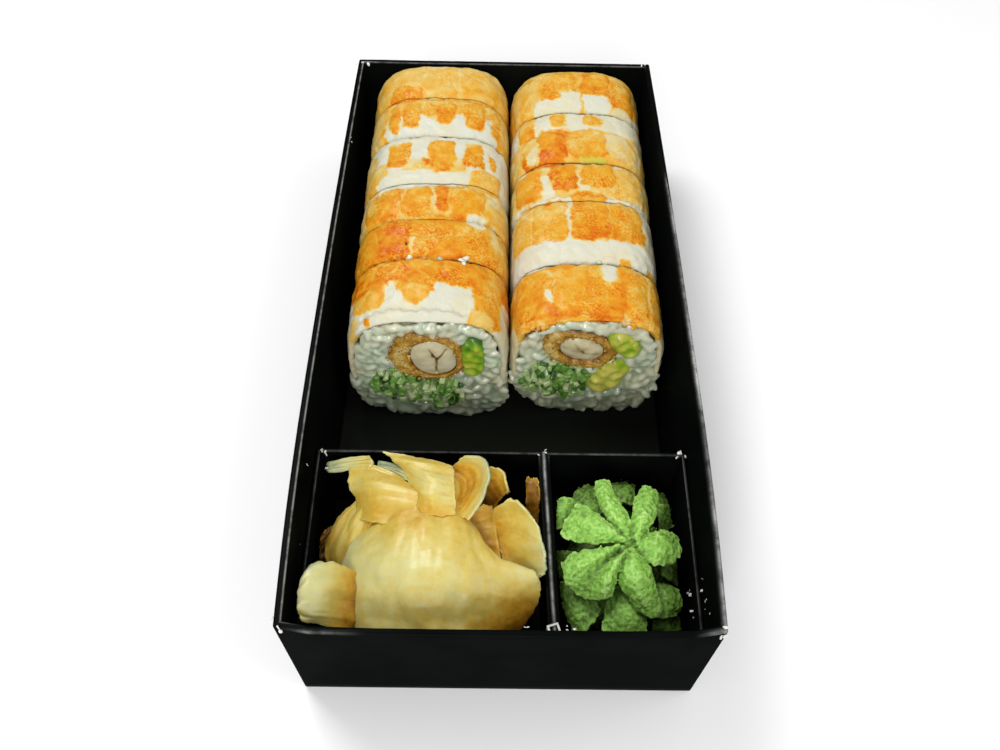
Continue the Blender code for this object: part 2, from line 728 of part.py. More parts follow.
def mound(name, middle, radii, side, bump, parts, material):
    """A soft lump: a ball drawn out to its half sizes, with an uneven skin."""
    bm = bmesh.new()
    bmesh.ops.create_icosphere(bm, subdivisions=2, radius=1.0)
    for vert in bm.verts:
        uneven = 1 + bump * noise.noise(vert.co * MOUND_WAVES)
        vert.co = Vector(middle) + Vector([part * radius for part, radius in zip(vert.co * uneven, radii)])
        press_into_compartment(vert.co, side)
    return finish_mesh(name, bm, parts, material)


def ginger_slice(name, net, parts, material):
    """A thin slice of ginger: the smooth sheet that a net of points pulls."""
    rows = [[Vector(point) / 1000 for point in row] for row in net]
    for point in itertools.chain(*rows):
        press_into_compartment(point, -1)
    bm = bmesh.new()
    join_rings(bm, rows, closed=False)
    sheet = finish_mesh(name, bm, parts, material)
    smooth = sheet.modifiers.new("smooth", "SUBSURF")
    smooth.levels = smooth.render_levels = 1
    skin = sheet.modifiers.new("thickness", "SOLIDIFY")
    skin.thickness = GINGER_SLICE
    skin.offset = 0
    skin.use_even_offset = False
    return sheet


def make_ginger(parts, material):
    middle, radii = GINGER_MOUND
    pieces = [mound("ginger_mound", middle, radii, -1, GINGER_UNEVEN, parts, material)]
    for name, net in GINGER_SLICES.items():
        pieces.append(ginger_slice("ginger_" + name, net, parts, material))
    return fuse("pickled_ginger", pieces, parts)


def wasabi_petal(name, data, parts, material):
    """One piped petal: a ball drawn out to a leaf, with ridges along its top."""
    bm = bmesh.new()
    sides = RIDGED_PETAL_SIDES if data.ridges > 1 else SMOOTH_PETAL_SIDES
    bmesh.ops.create_uvsphere(bm, u_segments=sides, v_segments=PETAL_RINGS, radius=1.0)
    droop = Matrix.Rotation(math.radians(data.droop), 3, "Y")
    spin = Matrix.Rotation(math.radians(data.angle), 3, "Z") @ droop
    for vert in bm.verts:
        length_share, side, height = vert.co.z, vert.co.x, vert.co.y
        outward = (length_share + 1) / 2
        spread = PETAL_FOOT + (1 - PETAL_FOOT) * min(1.0, outward * PETAL_WIDEN)
        groove = 0.0
        if data.ridges > 1 and height > 0:
            groove = GROOVE_DEPTH * outward * height * (1 - math.cos(side * data.ridges * math.pi)) / 2
        point = Vector((outward * data.length, side * data.width / 2 * spread,
                        height * data.thick / 2 + PETAL_ARCH * outward * (1 - outward) - groove))
        point.z += GRAIN_BUMP * noise.noise(Vector((outward * PETAL_WAVES, side * PETAL_WAVES, data.angle)))
        point = spin @ point + Vector((*WASABI_MIDDLE, data.foot))
        press_into_compartment(point, 1)
        vert.co = point
    return finish_mesh(name, bm, parts, material)


def make_wasabi(parts, material):
    middle = (*WASABI_MIDDLE, WASABI_CORE_HEIGHT / 2)
    radii = (WASABI_CORE, WASABI_CORE, WASABI_CORE_HEIGHT / 2)
    pieces = [mound("wasabi_core", middle, radii, 1, WASABI_UNEVEN, parts, material)]
    for index, data in enumerate(PETALS):
        pieces.append(wasabi_petal(f"wasabi_petal_{index + 1}", data, parts, material))
    return fuse("wasabi", pieces, parts)


def main():
    clear_scene()
    parts = new_collection("sushi_tray")
    cutters = new_collection("cutters")
    materials = {name: make_material(name) for name in COLORS}
    make_tray(parts, materials["black_card"])
    make_insert(parts, materials["black_card"])
    make_rolls(parts, cutters, materials)
    make_ginger(parts, materials["pickled_ginger"])
    make_wasabi(parts, materials["wasabi"])
    # The front wall leans out, so the middle of the whole box lies in front of the middle of the floor.
    for piece in [*parts.objects, *cutters.objects]:
        piece.data.transform(Matrix.Translation((0, FRONT_BOW / 2, 0)))


main()
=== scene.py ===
"""Looks of a takeaway tray of prawn-topped sushi rolls with pickled ginger and wasabi, in metres."""

import math

import bmesh
import bpy
import numpy as np
from mathutils import Matrix, Vector, noise


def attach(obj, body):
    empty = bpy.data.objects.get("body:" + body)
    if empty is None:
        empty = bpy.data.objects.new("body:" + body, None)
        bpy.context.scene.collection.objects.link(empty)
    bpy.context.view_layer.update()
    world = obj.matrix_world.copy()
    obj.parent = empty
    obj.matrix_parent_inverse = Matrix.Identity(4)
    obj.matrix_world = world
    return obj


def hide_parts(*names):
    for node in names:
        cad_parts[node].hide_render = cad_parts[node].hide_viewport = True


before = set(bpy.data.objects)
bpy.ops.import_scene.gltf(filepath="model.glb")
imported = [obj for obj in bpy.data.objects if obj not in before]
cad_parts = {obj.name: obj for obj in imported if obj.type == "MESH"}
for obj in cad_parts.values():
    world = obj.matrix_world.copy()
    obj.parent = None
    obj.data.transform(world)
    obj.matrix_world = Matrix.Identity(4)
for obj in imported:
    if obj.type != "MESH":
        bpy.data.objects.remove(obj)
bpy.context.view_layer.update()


# Tray
# A shallow box of black coated card, folded so that each wall is double and its rim is a round fold.
# Its long walls bow outwards in the middle and its front wall leans out. Its top folds carry a pale line, partly wear
# and partly painted highlight.

TRAY_SIZE = Vector((0.100, 0.200, 0.045))
HALF_WIDTH, HALF_LENGTH = 0.050, 0.100
WALL = 0.0018
FLOOR = 0.0010
SIDE_BOW, FRONT_LEAN = 0.0015, 0.0016
BOW_Y = -0.042
MIDDLE_SHIFT = FRONT_LEAN / 2


def side_bow(y, z):
    """How far a long side wall leans outwards at places along and up the tray."""
    reach = np.where(y < BOW_Y, BOW_Y + HALF_LENGTH, HALF_LENGTH - BOW_Y)
    return SIDE_BOW * np.maximum(0.0, 1 - ((y - BOW_Y) / reach) ** 2) * z / TRAY_SIZE.z


def front_lean(x, z):
    """How far the front wall leans out, less towards its corners."""
    fade = min(1.0, max(0.0, (HALF_WIDTH - abs(x)) / 0.010))
    return FRONT_LEAN * fade * z / TRAY_SIZE.z


def wave_at(values, scale):
    """Smooth noise along one direction, from -1 to 1."""
    return np.array([noise.noise(Vector((value * scale, 0.3, 0.7))) for value in values])


def place(piece, slot, *nodes):
    """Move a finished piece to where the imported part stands, and let it take the place of its CAD nodes."""
    piece.data.transform(Matrix.Translation((0, MIDDLE_SHIFT, 0)))
    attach(piece, "root")
    if nodes:
        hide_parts(*nodes)


def shader_of(name, color, roughness):
    """A new material with one principled shader, and its node tree."""
    material = bpy.data.materials.new(name)
    material.use_nodes = True
    tree = material.node_tree
    shader = tree.nodes["Principled BSDF"]
    shader.inputs["Base Color"].default_value = (*color, 1.0)
    shader.inputs["Roughness"].default_value = roughness
    return material, tree, shader


def add_node(tree, kind, **values):
    """A new shader node with its settings, or the plain values of its sockets."""
    node = tree.nodes.new(kind)
    for key, value in values.items():
        if hasattr(node, key):
            setattr(node, key, value)
        else:
            node.inputs[key.replace("_", " ")].default_value = value
    return node


def object_noise(tree, scale, detail=3.0, roughness=0.55):
    """A noise texture in object coordinates."""
    spot = add_node(tree, "ShaderNodeTexCoord")
    texture = add_node(tree, "ShaderNodeTexNoise", Scale=scale, Detail=detail, Roughness=roughness)
    tree.links.new(spot.outputs["Object"], texture.inputs["Vector"])
    return texture.outputs["Fac"]


def ramp(tree, source, low, high, low_color=(0, 0, 0), high_color=(1, 1, 1)):
    """A smooth change from one colour to another between two values of the source."""
    node = add_node(tree, "ShaderNodeValToRGB")
    node.color_ramp.interpolation = "EASE"
    first, last = node.color_ramp.elements
    first.position, last.position = low, high
    first.color, last.color = (*low_color, 1), (*high_color, 1)
    tree.links.new(source, node.inputs["Fac"])
    return node.outputs["Color"]


def mix(tree, factor, first, second, blend="MIX"):
    """Mix two colours, each a socket or a plain colour."""
    node = add_node(tree, "ShaderNodeMix", data_type="RGBA", blend_type=blend)
    for socket, value in ((node.inputs["Factor"], factor), (node.inputs[6], first), (node.inputs[7], second)):
        if isinstance(value, bpy.types.NodeSocket):
            tree.links.new(value, socket)
        else:
            socket.default_value = value if isinstance(value, float) else (*value, 1)
    return node.outputs[2]


def bump(tree, shader, height, strength, distance, before=None):
    """Fine relief in the shading, on top of the one before it where there is one."""
    node = add_node(tree, "ShaderNodeBump", Strength=strength, Distance=distance)
    tree.links.new(height, node.inputs["Height"])
    if before:
        tree.links.new(before, node.inputs["Normal"])
    tree.links.new(node.outputs["Normal"], shader.inputs["Normal"])
    return node.outputs["Normal"]


def map_range(tree, source, low, high, to_low=0.0, to_high=1.0):
    """Carry a value from one range to another, and hold it at the ends."""
    node = add_node(tree, "ShaderNodeMapRange", From_Min=low, From_Max=high, To_Min=to_low, To_Max=to_high)
    tree.links.new(source, node.inputs["Value"])
    return node.outputs["Result"]


def calculate(tree, operation, *sources):
    """One step of arithmetic on values, each a socket or a plain number."""
    node = add_node(tree, "ShaderNodeMath", operation=operation)
    for socket, source in zip(node.inputs, sources):
        if isinstance(source, float):
            socket.default_value = source
        else:
            tree.links.new(source, socket)
    return node.outputs[0]


def card_material(name, white, fold_z):
    """Black satin card, with a pale fold line that is partly wear and partly painted highlight, and an inside floor
    painted lighter, partly dust and partly painted sheen.
    """
    material, tree, shader = shader_of(name, (0.003, 0.004, 0.0035), 0.40)
    shader.inputs["Specular IOR Level"].default_value = 0.0
    shader.inputs["Coat Weight"].default_value = 0.02
    shader.inputs["Coat Roughness"].default_value = 0.22
    spot = add_node(tree, "ShaderNodeTexCoord")
    axes = add_node(tree, "ShaderNodeSeparateXYZ")
    tree.links.new(spot.outputs["Object"], axes.inputs["Vector"])
    # Painted sheen, partly dust too: the inside floor is lighter than the walls.
    low = map_range(tree, axes.outputs["Z"], 0.0030, 0.0012)
    wall = ramp(tree, object_noise(tree, 45.0), 0.3, 0.75, (0.0020, 0.0028, 0.0024), (0.0040, 0.0050, 0.0043))
    black = mix(tree, low, wall, (0.013, 0.015, 0.012))
    # Painted highlight, partly wear too: a pale line on the top folds, set by a painted attribute.
    paint = add_node(tree, "ShaderNodeAttribute", attribute_name="worn")
    patchy = ramp(tree, object_noise(tree, 260.0, 4.0, 0.7), 0.30, 0.62, (0.25, 0.25, 0.25), (1, 1, 1))
    sharp = calculate(tree, "POWER", paint.outputs["Fac"], 2.0)
    topmost = map_range(tree, axes.outputs["Z"], fold_z - 0.0003, fold_z)
    worn = mix(tree, 1.0, mix(tree, 1.0, sharp, patchy, "MULTIPLY"), topmost, "MULTIPLY")
    tree.links.new(mix(tree, worn, black, (white, white, white * 0.96)), shader.inputs["Base Color"])
    bump(tree, shader, object_noise(tree, 900.0, 4.0), 0.06, 0.0003)
    return material


def select_faces(piece, test):
    """Go into edit mode with only the faces selected that a test picks."""
    bpy.ops.object.mode_set(mode="EDIT")
    bpy.ops.mesh.select_mode(type="FACE")
    bpy.ops.mesh.select_all(action="DESELECT")
    bm = bmesh.from_edit_mesh(piece.data)
    for face in bm.faces:
        face.select_set(test(face))
    bm.select_flush_mode()
    bmesh.update_edit_mesh(piece.data)


def cut_across(axis, places):
    """Cut loops through the whole of the mesh in edit mode."""
    for spot in places:
        at, normal = [0.0, 0.0, 0.0], [0, 0, 0]
        at[axis], normal[axis] = spot, 1
        bpy.ops.mesh.select_all(action="SELECT")
        bpy.ops.mesh.bisect(plane_co=at, plane_no=normal)


def select_only(active, *others):
    """Select these pieces alone, the first one active."""
    bpy.ops.object.select_all(action="DESELECT")
    for piece in (active, *others):
        piece.select_set(True)
    bpy.context.view_layer.objects.active = active


def apply_modifiers(piece):
    """Fix a piece's modifiers into its mesh."""
    select_only(piece)
    for modifier in list(piece.modifiers):
        bpy.ops.object.modifier_apply(modifier=modifier.name)


def round_folds(piece, width, segments):
    """Round the folds of a piece of card, and shade it smooth over them."""
    folds = piece.modifiers.new("folds", "BEVEL")
    folds.width, folds.segments, folds.limit_method, folds.angle_limit = width, segments, "ANGLE", math.radians(50)
    apply_modifiers(piece)
    bpy.ops.object.shade_smooth_by_angle(angle=math.radians(35))


def corner_array(piece):
    """The corners of a mesh, one row of x, y and z for each."""
    flat = np.empty(len(piece.data.vertices) * 3)
    piece.data.vertices.foreach_get("co", flat)
    return flat.reshape(-1, 3)


def paint_points(piece, name, values):
    """Store a value at each corner of a mesh, for its material to read."""
    layer = piece.data.attributes.new(name, "FLOAT", "POINT")
    layer.data.foreach_set("value", np.asarray(values, dtype=np.float32))


bpy.ops.mesh.primitive_cube_add(size=1, location=(0, 0, TRAY_SIZE.z / 2))
tray = bpy.context.object
tray.name = "tray_box"
tray.scale = TRAY_SIZE
bpy.ops.object.transform_apply(location=True, rotation=False, scale=True)
select_faces(tray, lambda face: face.normal.z > 0.9)
bpy.ops.mesh.inset(thickness=WALL)
bpy.ops.mesh.extrude_region_move(TRANSFORM_OT_translate={"value": (0, 0, FLOOR - TRAY_SIZE.z)})
cut_across(1, [-0.096 + 0.008 * step for step in range(25)])
cut_across(0, [-0.042, -0.028, -0.014, 0.0, 0.014, 0.028, 0.042])
cut_across(2, [0.010, 0.022, 0.034])
bpy.ops.object.mode_set(mode="OBJECT")
for vert in tray.data.vertices:
    x, y, z = vert.co
    if abs(x) > HALF_WIDTH - 0.002:
        vert.co.x += math.copysign(side_bow(y, z), x)
    if y < -HALF_LENGTH + 0.002 and z > FLOOR:
        vert.co.y -= front_lean(x, z)
    if z > TRAY_SIZE.z - 0.005:
        vert.co.z -= 0.00015 * (1 + noise.noise(Vector((x, y, 0)) * 60))
round_folds(tray, 0.0006, 4)
tray.data.materials.clear()
tray.data.materials.append(card_material("tray card", 0.60, 0.0445))
x, y, z = corner_array(tray).T
# Painted highlight along the rim folds, partly wear too: a thin line on the left rim, a bright band on the front two
# thirds of the right rim, broken dashes on the front rim and a line on the back rim.
from_side = HALF_WIDTH + side_bow(y, z) - np.abs(x)
left_line = 0.75 * (x < 0) * np.exp(-((from_side - 0.0016) / 0.00022) ** 2)
right_band = 0.95 * (x > 0) * (y < 0.040) * np.exp(-((from_side - 0.0005) / 0.0007) ** 2)
right_band = right_band * (0.7 + 0.5 * wave_at(y, 90.0))
front_dashes = 0.55 * (y < -0.0985) * np.clip(wave_at(x, 330.0) * 2.2, 0, 1) * np.exp(-((y + 0.1010) / 0.0004) ** 2)
back_line = 0.5 * (y > 0.0978) * np.exp(-((y - 0.0984) / 0.0002) ** 2)
on_rim = z > TRAY_SIZE.z - 0.001
paint_points(tray, "worn", np.clip(on_rim * (left_line + right_band + front_dashes + back_line), 0, 1))
place(tray, "black_card", "tray")


# Divider insert
# A lining of thinner black card that stands in the front of the tray, with a middle wall folded up from it.
# Its top folds carry a thin grey line, partly wear and partly painted highlight.

INSERT_TOP, INSERT_BASE = 0.0305, 0.0013
INSERT_FRONT, INSERT_BACK = -0.0979, -0.0464
INSERT_CARD = 0.0007
INSERT_BOW = 0.8


def divider_x(y):
    """Where the slanting middle wall stands."""
    return 0.0121 - 0.035 * (y + 0.072)


insert_middle = (0, (INSERT_FRONT + INSERT_BACK) / 2, (INSERT_BASE + INSERT_TOP) / 2)
bpy.ops.mesh.primitive_cube_add(size=1, location=insert_middle)
insert = bpy.context.object
insert.name = "divider_lining"
insert.scale = (0.0958, INSERT_BACK - INSERT_FRONT, INSERT_TOP - INSERT_BASE)
bpy.ops.object.transform_apply(location=True, rotation=False, scale=True)
select_faces(insert, lambda face: face.normal.z > 0.9)
cut_across(0, [-INSERT_CARD, INSERT_CARD])
select_faces(insert, lambda face: face.normal.z > 0.9 and abs(face.calc_center_median().x) > 0.001)
bpy.ops.mesh.inset(thickness=INSERT_CARD, use_individual=True)
bpy.ops.mesh.extrude_region_move(TRANSFORM_OT_translate={"value": (0, 0, INSERT_BASE + INSERT_CARD - INSERT_TOP)})
cut_across(1, [-0.094 + 0.006 * step for step in range(8)])
cut_across(0, [-0.040, -0.026, -0.012, 0.0, 0.012, 0.026, 0.040])
cut_across(2, [0.010, 0.022])
bpy.ops.object.mode_set(mode="OBJECT")
for vert in insert.data.vertices:
    x, y, z = vert.co
    wavy = noise.noise(Vector((x * 40, y * 40, 3.0)))
    if y < -0.0970 and z > 0.003:
        vert.co.y -= front_lean(x, z) * INSERT_BOW
    if abs(x) < 0.002:
        vert.co.x += divider_x(y) + 0.0003 * wavy * z / INSERT_TOP
    elif abs(x) > 0.0465 and z > 0.003:
        vert.co.x += math.copysign(side_bow(y, z) * INSERT_BOW, x)
    if z > INSERT_TOP - 0.001:
        vert.co.z -= 0.0002 * (1 + wavy)
round_folds(insert, 0.00022, 2)
insert.data.materials.clear()
insert.data.materials.append(card_material("divider card", 0.60, INSERT_TOP - 0.0005))
x, y, z = corner_array(insert).T
# Painted highlight, partly wear too: a thin pale line along the top folds of the middle wall and the lining.
from_fold = np.abs(x - divider_x(y) + 0.0001)
from_inside = np.abs(np.maximum(np.abs(x) - 0.0473 - side_bow(y, z) * INSERT_BOW, np.abs(y + 0.07215) - 0.0252))
worn = np.maximum(0.85 * (from_fold < 0.00035), 0.45 * (from_inside < 0.0003))
worn = worn * (z > INSERT_TOP - 0.0007) * np.clip(0.85 + 0.4 * wave_at(x + y, 160.0), 0, 1)
paint_points(insert, "worn", worn)
place(insert, "black_card", "divider_insert")


# Card scraps
# Where the black card was cut, its white raw edge shows at the corners of the tray and the lining, and small white
# crumbs of card and batter stick to the walls. The divider's front end is a small square loop of raw card.

def built_piece(name, bm):
    """A new object from a mesh that was built corner by corner."""
    mesh = bpy.data.meshes.new(name)
    bm.to_mesh(mesh)
    bm.free()
    piece = bpy.data.objects.new(name, mesh)
    bpy.context.collection.objects.link(piece)
    return piece


raw_card, raw_tree, raw_shader = shader_of("raw card", (0.78, 0.78, 0.74), 0.8)
raw_spots = ramp(raw_tree, object_noise(raw_tree, 900.0, 3.0), 0.3, 0.7, (0.55, 0.56, 0.50), (0.88, 0.88, 0.84))
raw_tree.links.new(raw_spots, raw_shader.inputs["Base Color"])
# Where the raw tips show and the crumbs stick, in mm
CARD_TIPS = ((-49.0, 97.6, 44.6), (49.0, 98.3, 44.6), (-49.2, -99.2, 44.5), (49.3, -100.1, 44.5),
             (-47.2, -47.1, 30.2), (11.3, -47.1, 30.2), (47.3, -47.2, 30.2))
WALL_CRUMBS = ((-49.2, -55.4, 37.5), (-49.3, -75.0, 34.2), (-49.2, -82.7, 36.6), (-48.9, 59.0, 44.6),
               (48.6, -83.3, 33.8), (48.6, -88.5, 34.2), (48.6, -85.4, 31.3), (48.7, -92.2, 36.4),
               (48.6, -86.6, 35.4), (48.7, -90.3, 32.6), (46.9, -87.6, 25.2), (46.9, -84.3, 25.9),
               (46.9, -90.0, 27.0), (46.9, -82.2, 23.5), (5.4, -99.2, 44.4), (14.4, -99.2, 44.3),
               (16.0, -99.2, 44.3), (-46.0, -52.0, 30.4))
scrap_rng = np.random.default_rng(3)
bm = bmesh.new()
for spots, count, spread, sizes in ((CARD_TIPS, 5, 0.0007, (0.0004, 0.0008)),
                                    (WALL_CRUMBS, 2, 0.0003, (0.0002, 0.0005))):
    for spot in spots:
        for _ in range(count):
            size = scrap_rng.uniform(*sizes)
            shift = scrap_rng.normal(0, spread, 3)
            turn = Matrix.Rotation(scrap_rng.uniform(0, 6), 3, scrap_rng.normal(0, 1, 3))
            made = bmesh.ops.create_icosphere(bm, subdivisions=2, radius=size)["verts"]
            for vert in made:
                knobbly = 1 + 0.5 * noise.noise(vert.co / size * 1.2 + Vector(shift) * 9000)
                flat = Vector((vert.co.x, vert.co.y * 0.7, vert.co.z * 0.35)) * knobbly
                vert.co = turn @ flat + Vector(spot) / 1000 + Vector(shift)
                vert.co.z = min(vert.co.z, 0.0454)
scraps = built_piece("card_scraps", bm)
scraps.data.materials.append(raw_card)
place(scraps, None)

bpy.ops.mesh.primitive_cube_add(size=0.0028, location=(0, 0, 0))
loop = bpy.context.object
loop.name = "card_loop"
select_faces(loop, lambda face: abs(face.normal.z) > 0.9)
bpy.ops.mesh.inset(thickness=0.00045, use_individual=True)
bpy.ops.mesh.bridge_edge_loops()
bpy.ops.object.mode_set(mode="OBJECT")
loop.data.transform(Matrix.Translation((0.0127, -0.0948, 0.0296)) @ Matrix.Rotation(0.3, 4, "Z")
                    @ Matrix.Diagonal((1.0, 1.0, 0.8, 1.0)))
loop.data.materials.append(raw_card)
place(loop, None)


# Rice of the rolls
# Each slice is a block of pressed, moist sushi rice. Where it is bare, at the cuts and low on its sides, whole
# grains lie on a sunk core of the same rice. On the two front cuts the grains leave room for the fillings.

GAP = 0.0003
ROLL_FOOT = 0.0013
ROLL_MIDDLE_Z = 0.0240
SHEET_DEPTH = 0.0022
PRAWN_EDGE_Z = 0.0190
BARE_TOP_Z = 0.0180
FACE_LEAN = 0.0024
# Each roll's middle, half width and top, how square its four corners are, and where its slices meet
ROLLS = {
    "left": dict(middle=-0.0214, half=0.0234, top=0.0460, corners=(3.2, 2.9, 3.0, 5.0),
                 seams=(-0.0148, 0.0085, 0.0240, 0.0395, 0.0610, 0.0800, 0.0965)),
    "right": dict(middle=0.0247, half=0.0224, top=0.0450, corners=(2.9, 3.0, 2.6, 3.4),
                  seams=(-0.0128, 0.0085, 0.0335, 0.0510, 0.0750, 0.0962)),
}
rng = np.random.default_rng(7)


def outline(roll, angle, inset):
    """Points on a roll's cross-section, at angles from +X round over the top, moved inwards."""
    across, up = np.cos(angle), np.sin(angle)
    power = np.array(roll["corners"])[(angle // (math.pi / 2)).astype(int) % 4]
    half_z = np.where(up >= 0, roll["top"] - ROLL_MIDDLE_Z, ROLL_MIDDLE_Z - ROLL_FOOT)
    x = np.sign(across) * np.abs(across) ** (2 / power) * roll["half"]
    z = np.sign(up) * np.abs(up) ** (2 / power) * half_z
    normal_x = np.sign(across) * np.abs(across) ** (2 - 2 / power) / roll["half"]
    normal_z = np.sign(up) * np.abs(up) ** (2 - 2 / power) / half_z
    size = np.hypot(normal_x, normal_z)
    return roll["middle"] + x - inset * normal_x / size, ROLL_MIDDLE_Z + z - inset * normal_z / size


def even_angles(roll, start, end, count):
    """Angles between two angles whose points lie evenly spaced along the outline."""
    fine = np.linspace(start, end, 4000)
    x, z = outline(roll, fine, 0.0)
    run = np.concatenate(([0], np.cumsum(np.hypot(np.diff(x), np.diff(z)))))
    return np.interp(np.linspace(0, run[-1], count), run, fine)


def edge_angle(roll, height, quarter):
    """How far below the horizontal a roll's outline passes a height, in its lower left (2) or right (3) quarter."""
    return math.asin(((ROLL_MIDDLE_Z - height) / (ROLL_MIDDLE_Z - ROLL_FOOT)) ** (roll["corners"][quarter] / 2))


def seam_y(roll, index, z):
    """Where a slice starts along the tray. The front cut leans."""
    lean = FACE_LEAN * (roll["top"] - z) / roll["top"]
    return roll["seams"][index] - lean * (index == 0)


def wave(points, scale, seed):
    """Smooth noise at many points, from -1 to 1."""
    return np.array([noise.noise(Vector(point) * scale + Vector((seed, 0, 0))) for point in points])


def grid_mesh(name, rows, closed):
    """A mesh of quads through rows of points, each row an array of the same length."""
    rows = np.asarray(rows)
    lines, count = rows.shape[:2]
    index = np.arange(lines * count).reshape(lines, count)
    after = np.roll(index, -1, axis=1)
    if not closed:
        index, after = index[:, :-1], after[:, :-1]
    quads = np.stack((index[:-1], after[:-1], after[1:], index[1:]), axis=-1).reshape(-1, 4)
    mesh = bpy.data.meshes.new(name)
    mesh.from_pydata(rows.reshape(-1, 3).tolist(), [], quads.tolist())
    piece = bpy.data.objects.new(name, mesh)
    bpy.context.collection.objects.link(piece)
    return piece


def face_outwards(piece):
    """Turn all faces outwards, and the whole mesh where its volume is still negative."""
    select_only(piece)
    bpy.ops.object.mode_set(mode="EDIT")
    bpy.ops.mesh.select_all(action="SELECT")
    bpy.ops.mesh.normals_make_consistent(inside=False)
    bpy.ops.object.mode_set(mode="OBJECT")
    bm = bmesh.new()
    bm.from_mesh(piece.data)
    if bm.calc_volume(signed=True) < 0:
        bmesh.ops.reverse_faces(bm, faces=bm.faces[:])
        bm.to_mesh(piece.data)
    bm.free()


def dress(piece, material):
    """Shade a piece smooth all over and give it its material."""
    piece.data.polygons.foreach_set("use_smooth", [True] * len(piece.data.polygons))
    piece.data.materials.append(material)


def close_ends(piece, merge=0.0):
    """Merge the doubled corners of a mesh where a distance is given, fill its open ends and face it outwards."""
    bm = bmesh.new()
    bm.from_mesh(piece.data)
    if merge:
        bmesh.ops.remove_doubles(bm, verts=bm.verts[:], dist=merge)
    bmesh.ops.holes_fill(bm, edges=bm.edges[:], sides=200)
    bm.to_mesh(piece.data)
    bm.free()
    face_outwards(piece)


def grain_shapes():
    """The corners and faces of four short-grain rice grains, lying along X, about 5 mm long."""
    shapes = []
    for bend, fat, blunt in ((0.10, 1.0, 2.4), (-0.08, 0.92, 2.1), (0.04, 1.06, 2.7), (0.15, 0.96, 2.3)):
        bpy.ops.mesh.primitive_uv_sphere_add(segments=8, ring_count=6, radius=1, rotation=(0, math.pi / 2, 0))
        grain = bpy.context.object
        bpy.ops.object.transform_apply(location=False, rotation=True, scale=False)
        corners = np.array([vert.co for vert in grain.data.vertices])
        along = np.clip(np.abs(corners[:, 0]), 0, 1)
        round_off = (1 - along ** blunt) ** (1 / blunt) / np.maximum(np.sqrt(1 - np.minimum(along, 0.999) ** 2), 0.05)
        corners[:, 1] *= 0.00138 * fat * np.minimum(round_off, 1.6)
        corners[:, 2] = corners[:, 2] * 0.00112 * fat * np.minimum(round_off, 1.6) + bend * 0.004 * (1 - along ** 2)
        corners[:, 0] *= 0.00265
        faces = [tuple(face.vertices) for face in grain.data.polygons]
        shapes.append((corners, faces))
        bpy.data.objects.remove(grain)
    return shapes


GRAINS = grain_shapes()


def grains_at(places, normals, size=1.0):
    """Rice grains that lie flat on a surface, each turned at random. Returns corners and faces."""
    corners, faces, tones = [], [], []
    base = 0
    for spot, normal in zip(places, normals):
        shape, shape_faces = GRAINS[rng.integers(len(GRAINS))]
        normal = Vector(normal) + Vector(rng.normal(0, 0.22, 3))
        frame_of = normal.to_track_quat("Z", "Y").to_matrix()
        turn = Matrix.Rotation(rng.uniform(0, 2 * math.pi), 3, "Z")
        matrix = np.array(frame_of @ turn) * rng.uniform(0.82, 1.1) * size
        corners.append(shape @ matrix.T + np.asarray(spot))
        faces.extend(tuple(base + corner for corner in face) for face in shape_faces)
        tones.append(np.full(len(shape), rng.uniform(0, 1)))
        base += len(shape)
    return corners, faces, tones


def grain_piece(name, groups, material):
    """One mesh of all the grains of a slice."""
    corners, faces, tones, base = [], [], [], 0
    for group_corners, group_faces, group_tones in groups:
        corners += group_corners
        tones += group_tones
        faces += [tuple(base + corner for corner in face) for face in group_faces]
        base += sum(len(part) for part in group_corners)
    mesh = bpy.data.meshes.new(name)
    mesh.from_pydata(np.concatenate(corners).tolist(), [], faces)
    piece = bpy.data.objects.new(name, mesh)
    bpy.context.collection.objects.link(piece)
    paint_points(piece, "grain_tone", np.concatenate(tones))
    dress(piece, material)
    return piece


def rice_material(name, deep, glassy=0.0):
    """Moist cooked rice: translucent, grey white with a green blue cast, each grain a little different. The sunk
    core's copy is darker, as painted shade between the grains.
    """
    material, tree, shader = shader_of(name, (0.6, 0.62, 0.55), 0.28)
    tone = add_node(tree, "ShaderNodeAttribute", attribute_name="grain_tone")
    # Painted shade: the sunk core is a darker copy of the rice, for the shade between its grains.
    light = (0.60, 0.61, 0.46) if deep else (0.92, 0.92, 0.74)
    dark = (0.34, 0.39, 0.28) if deep else (0.42, 0.48, 0.34)
    grain = ramp(tree, tone.outputs["Fac"], 0.0, 1.0, dark, light)
    cloudy = ramp(tree, object_noise(tree, 95.0, 3.0), 0.35, 0.68, (0.84, 0.93, 0.86), (1.0, 0.96, 0.84))
    tree.links.new(mix(tree, 1.0, grain, cloudy, "MULTIPLY"), shader.inputs["Base Color"])
    shader.inputs["Subsurface Weight"].default_value = 0.55
    shader.inputs["Subsurface Radius"].default_value = (1.0, 0.9, 0.7)
    shader.inputs["Subsurface Scale"].default_value = 0.0035
    shader.inputs["Transmission Weight"].default_value = glassy
    shader.inputs["IOR"].default_value = 1.38
    shader.inputs["Coat Weight"].default_value = 0.8
    shader.inputs["Coat Roughness"].default_value = 0.08
    bump(tree, shader, object_noise(tree, 700.0, 3.0), 0.25, 0.0004)
    return material


rice_core_material = rice_material("pressed rice", True)
rice_grain_material = rice_material("rice grains", False)
rice_face_material = rice_material("sticky cut rice", False, 0.18)


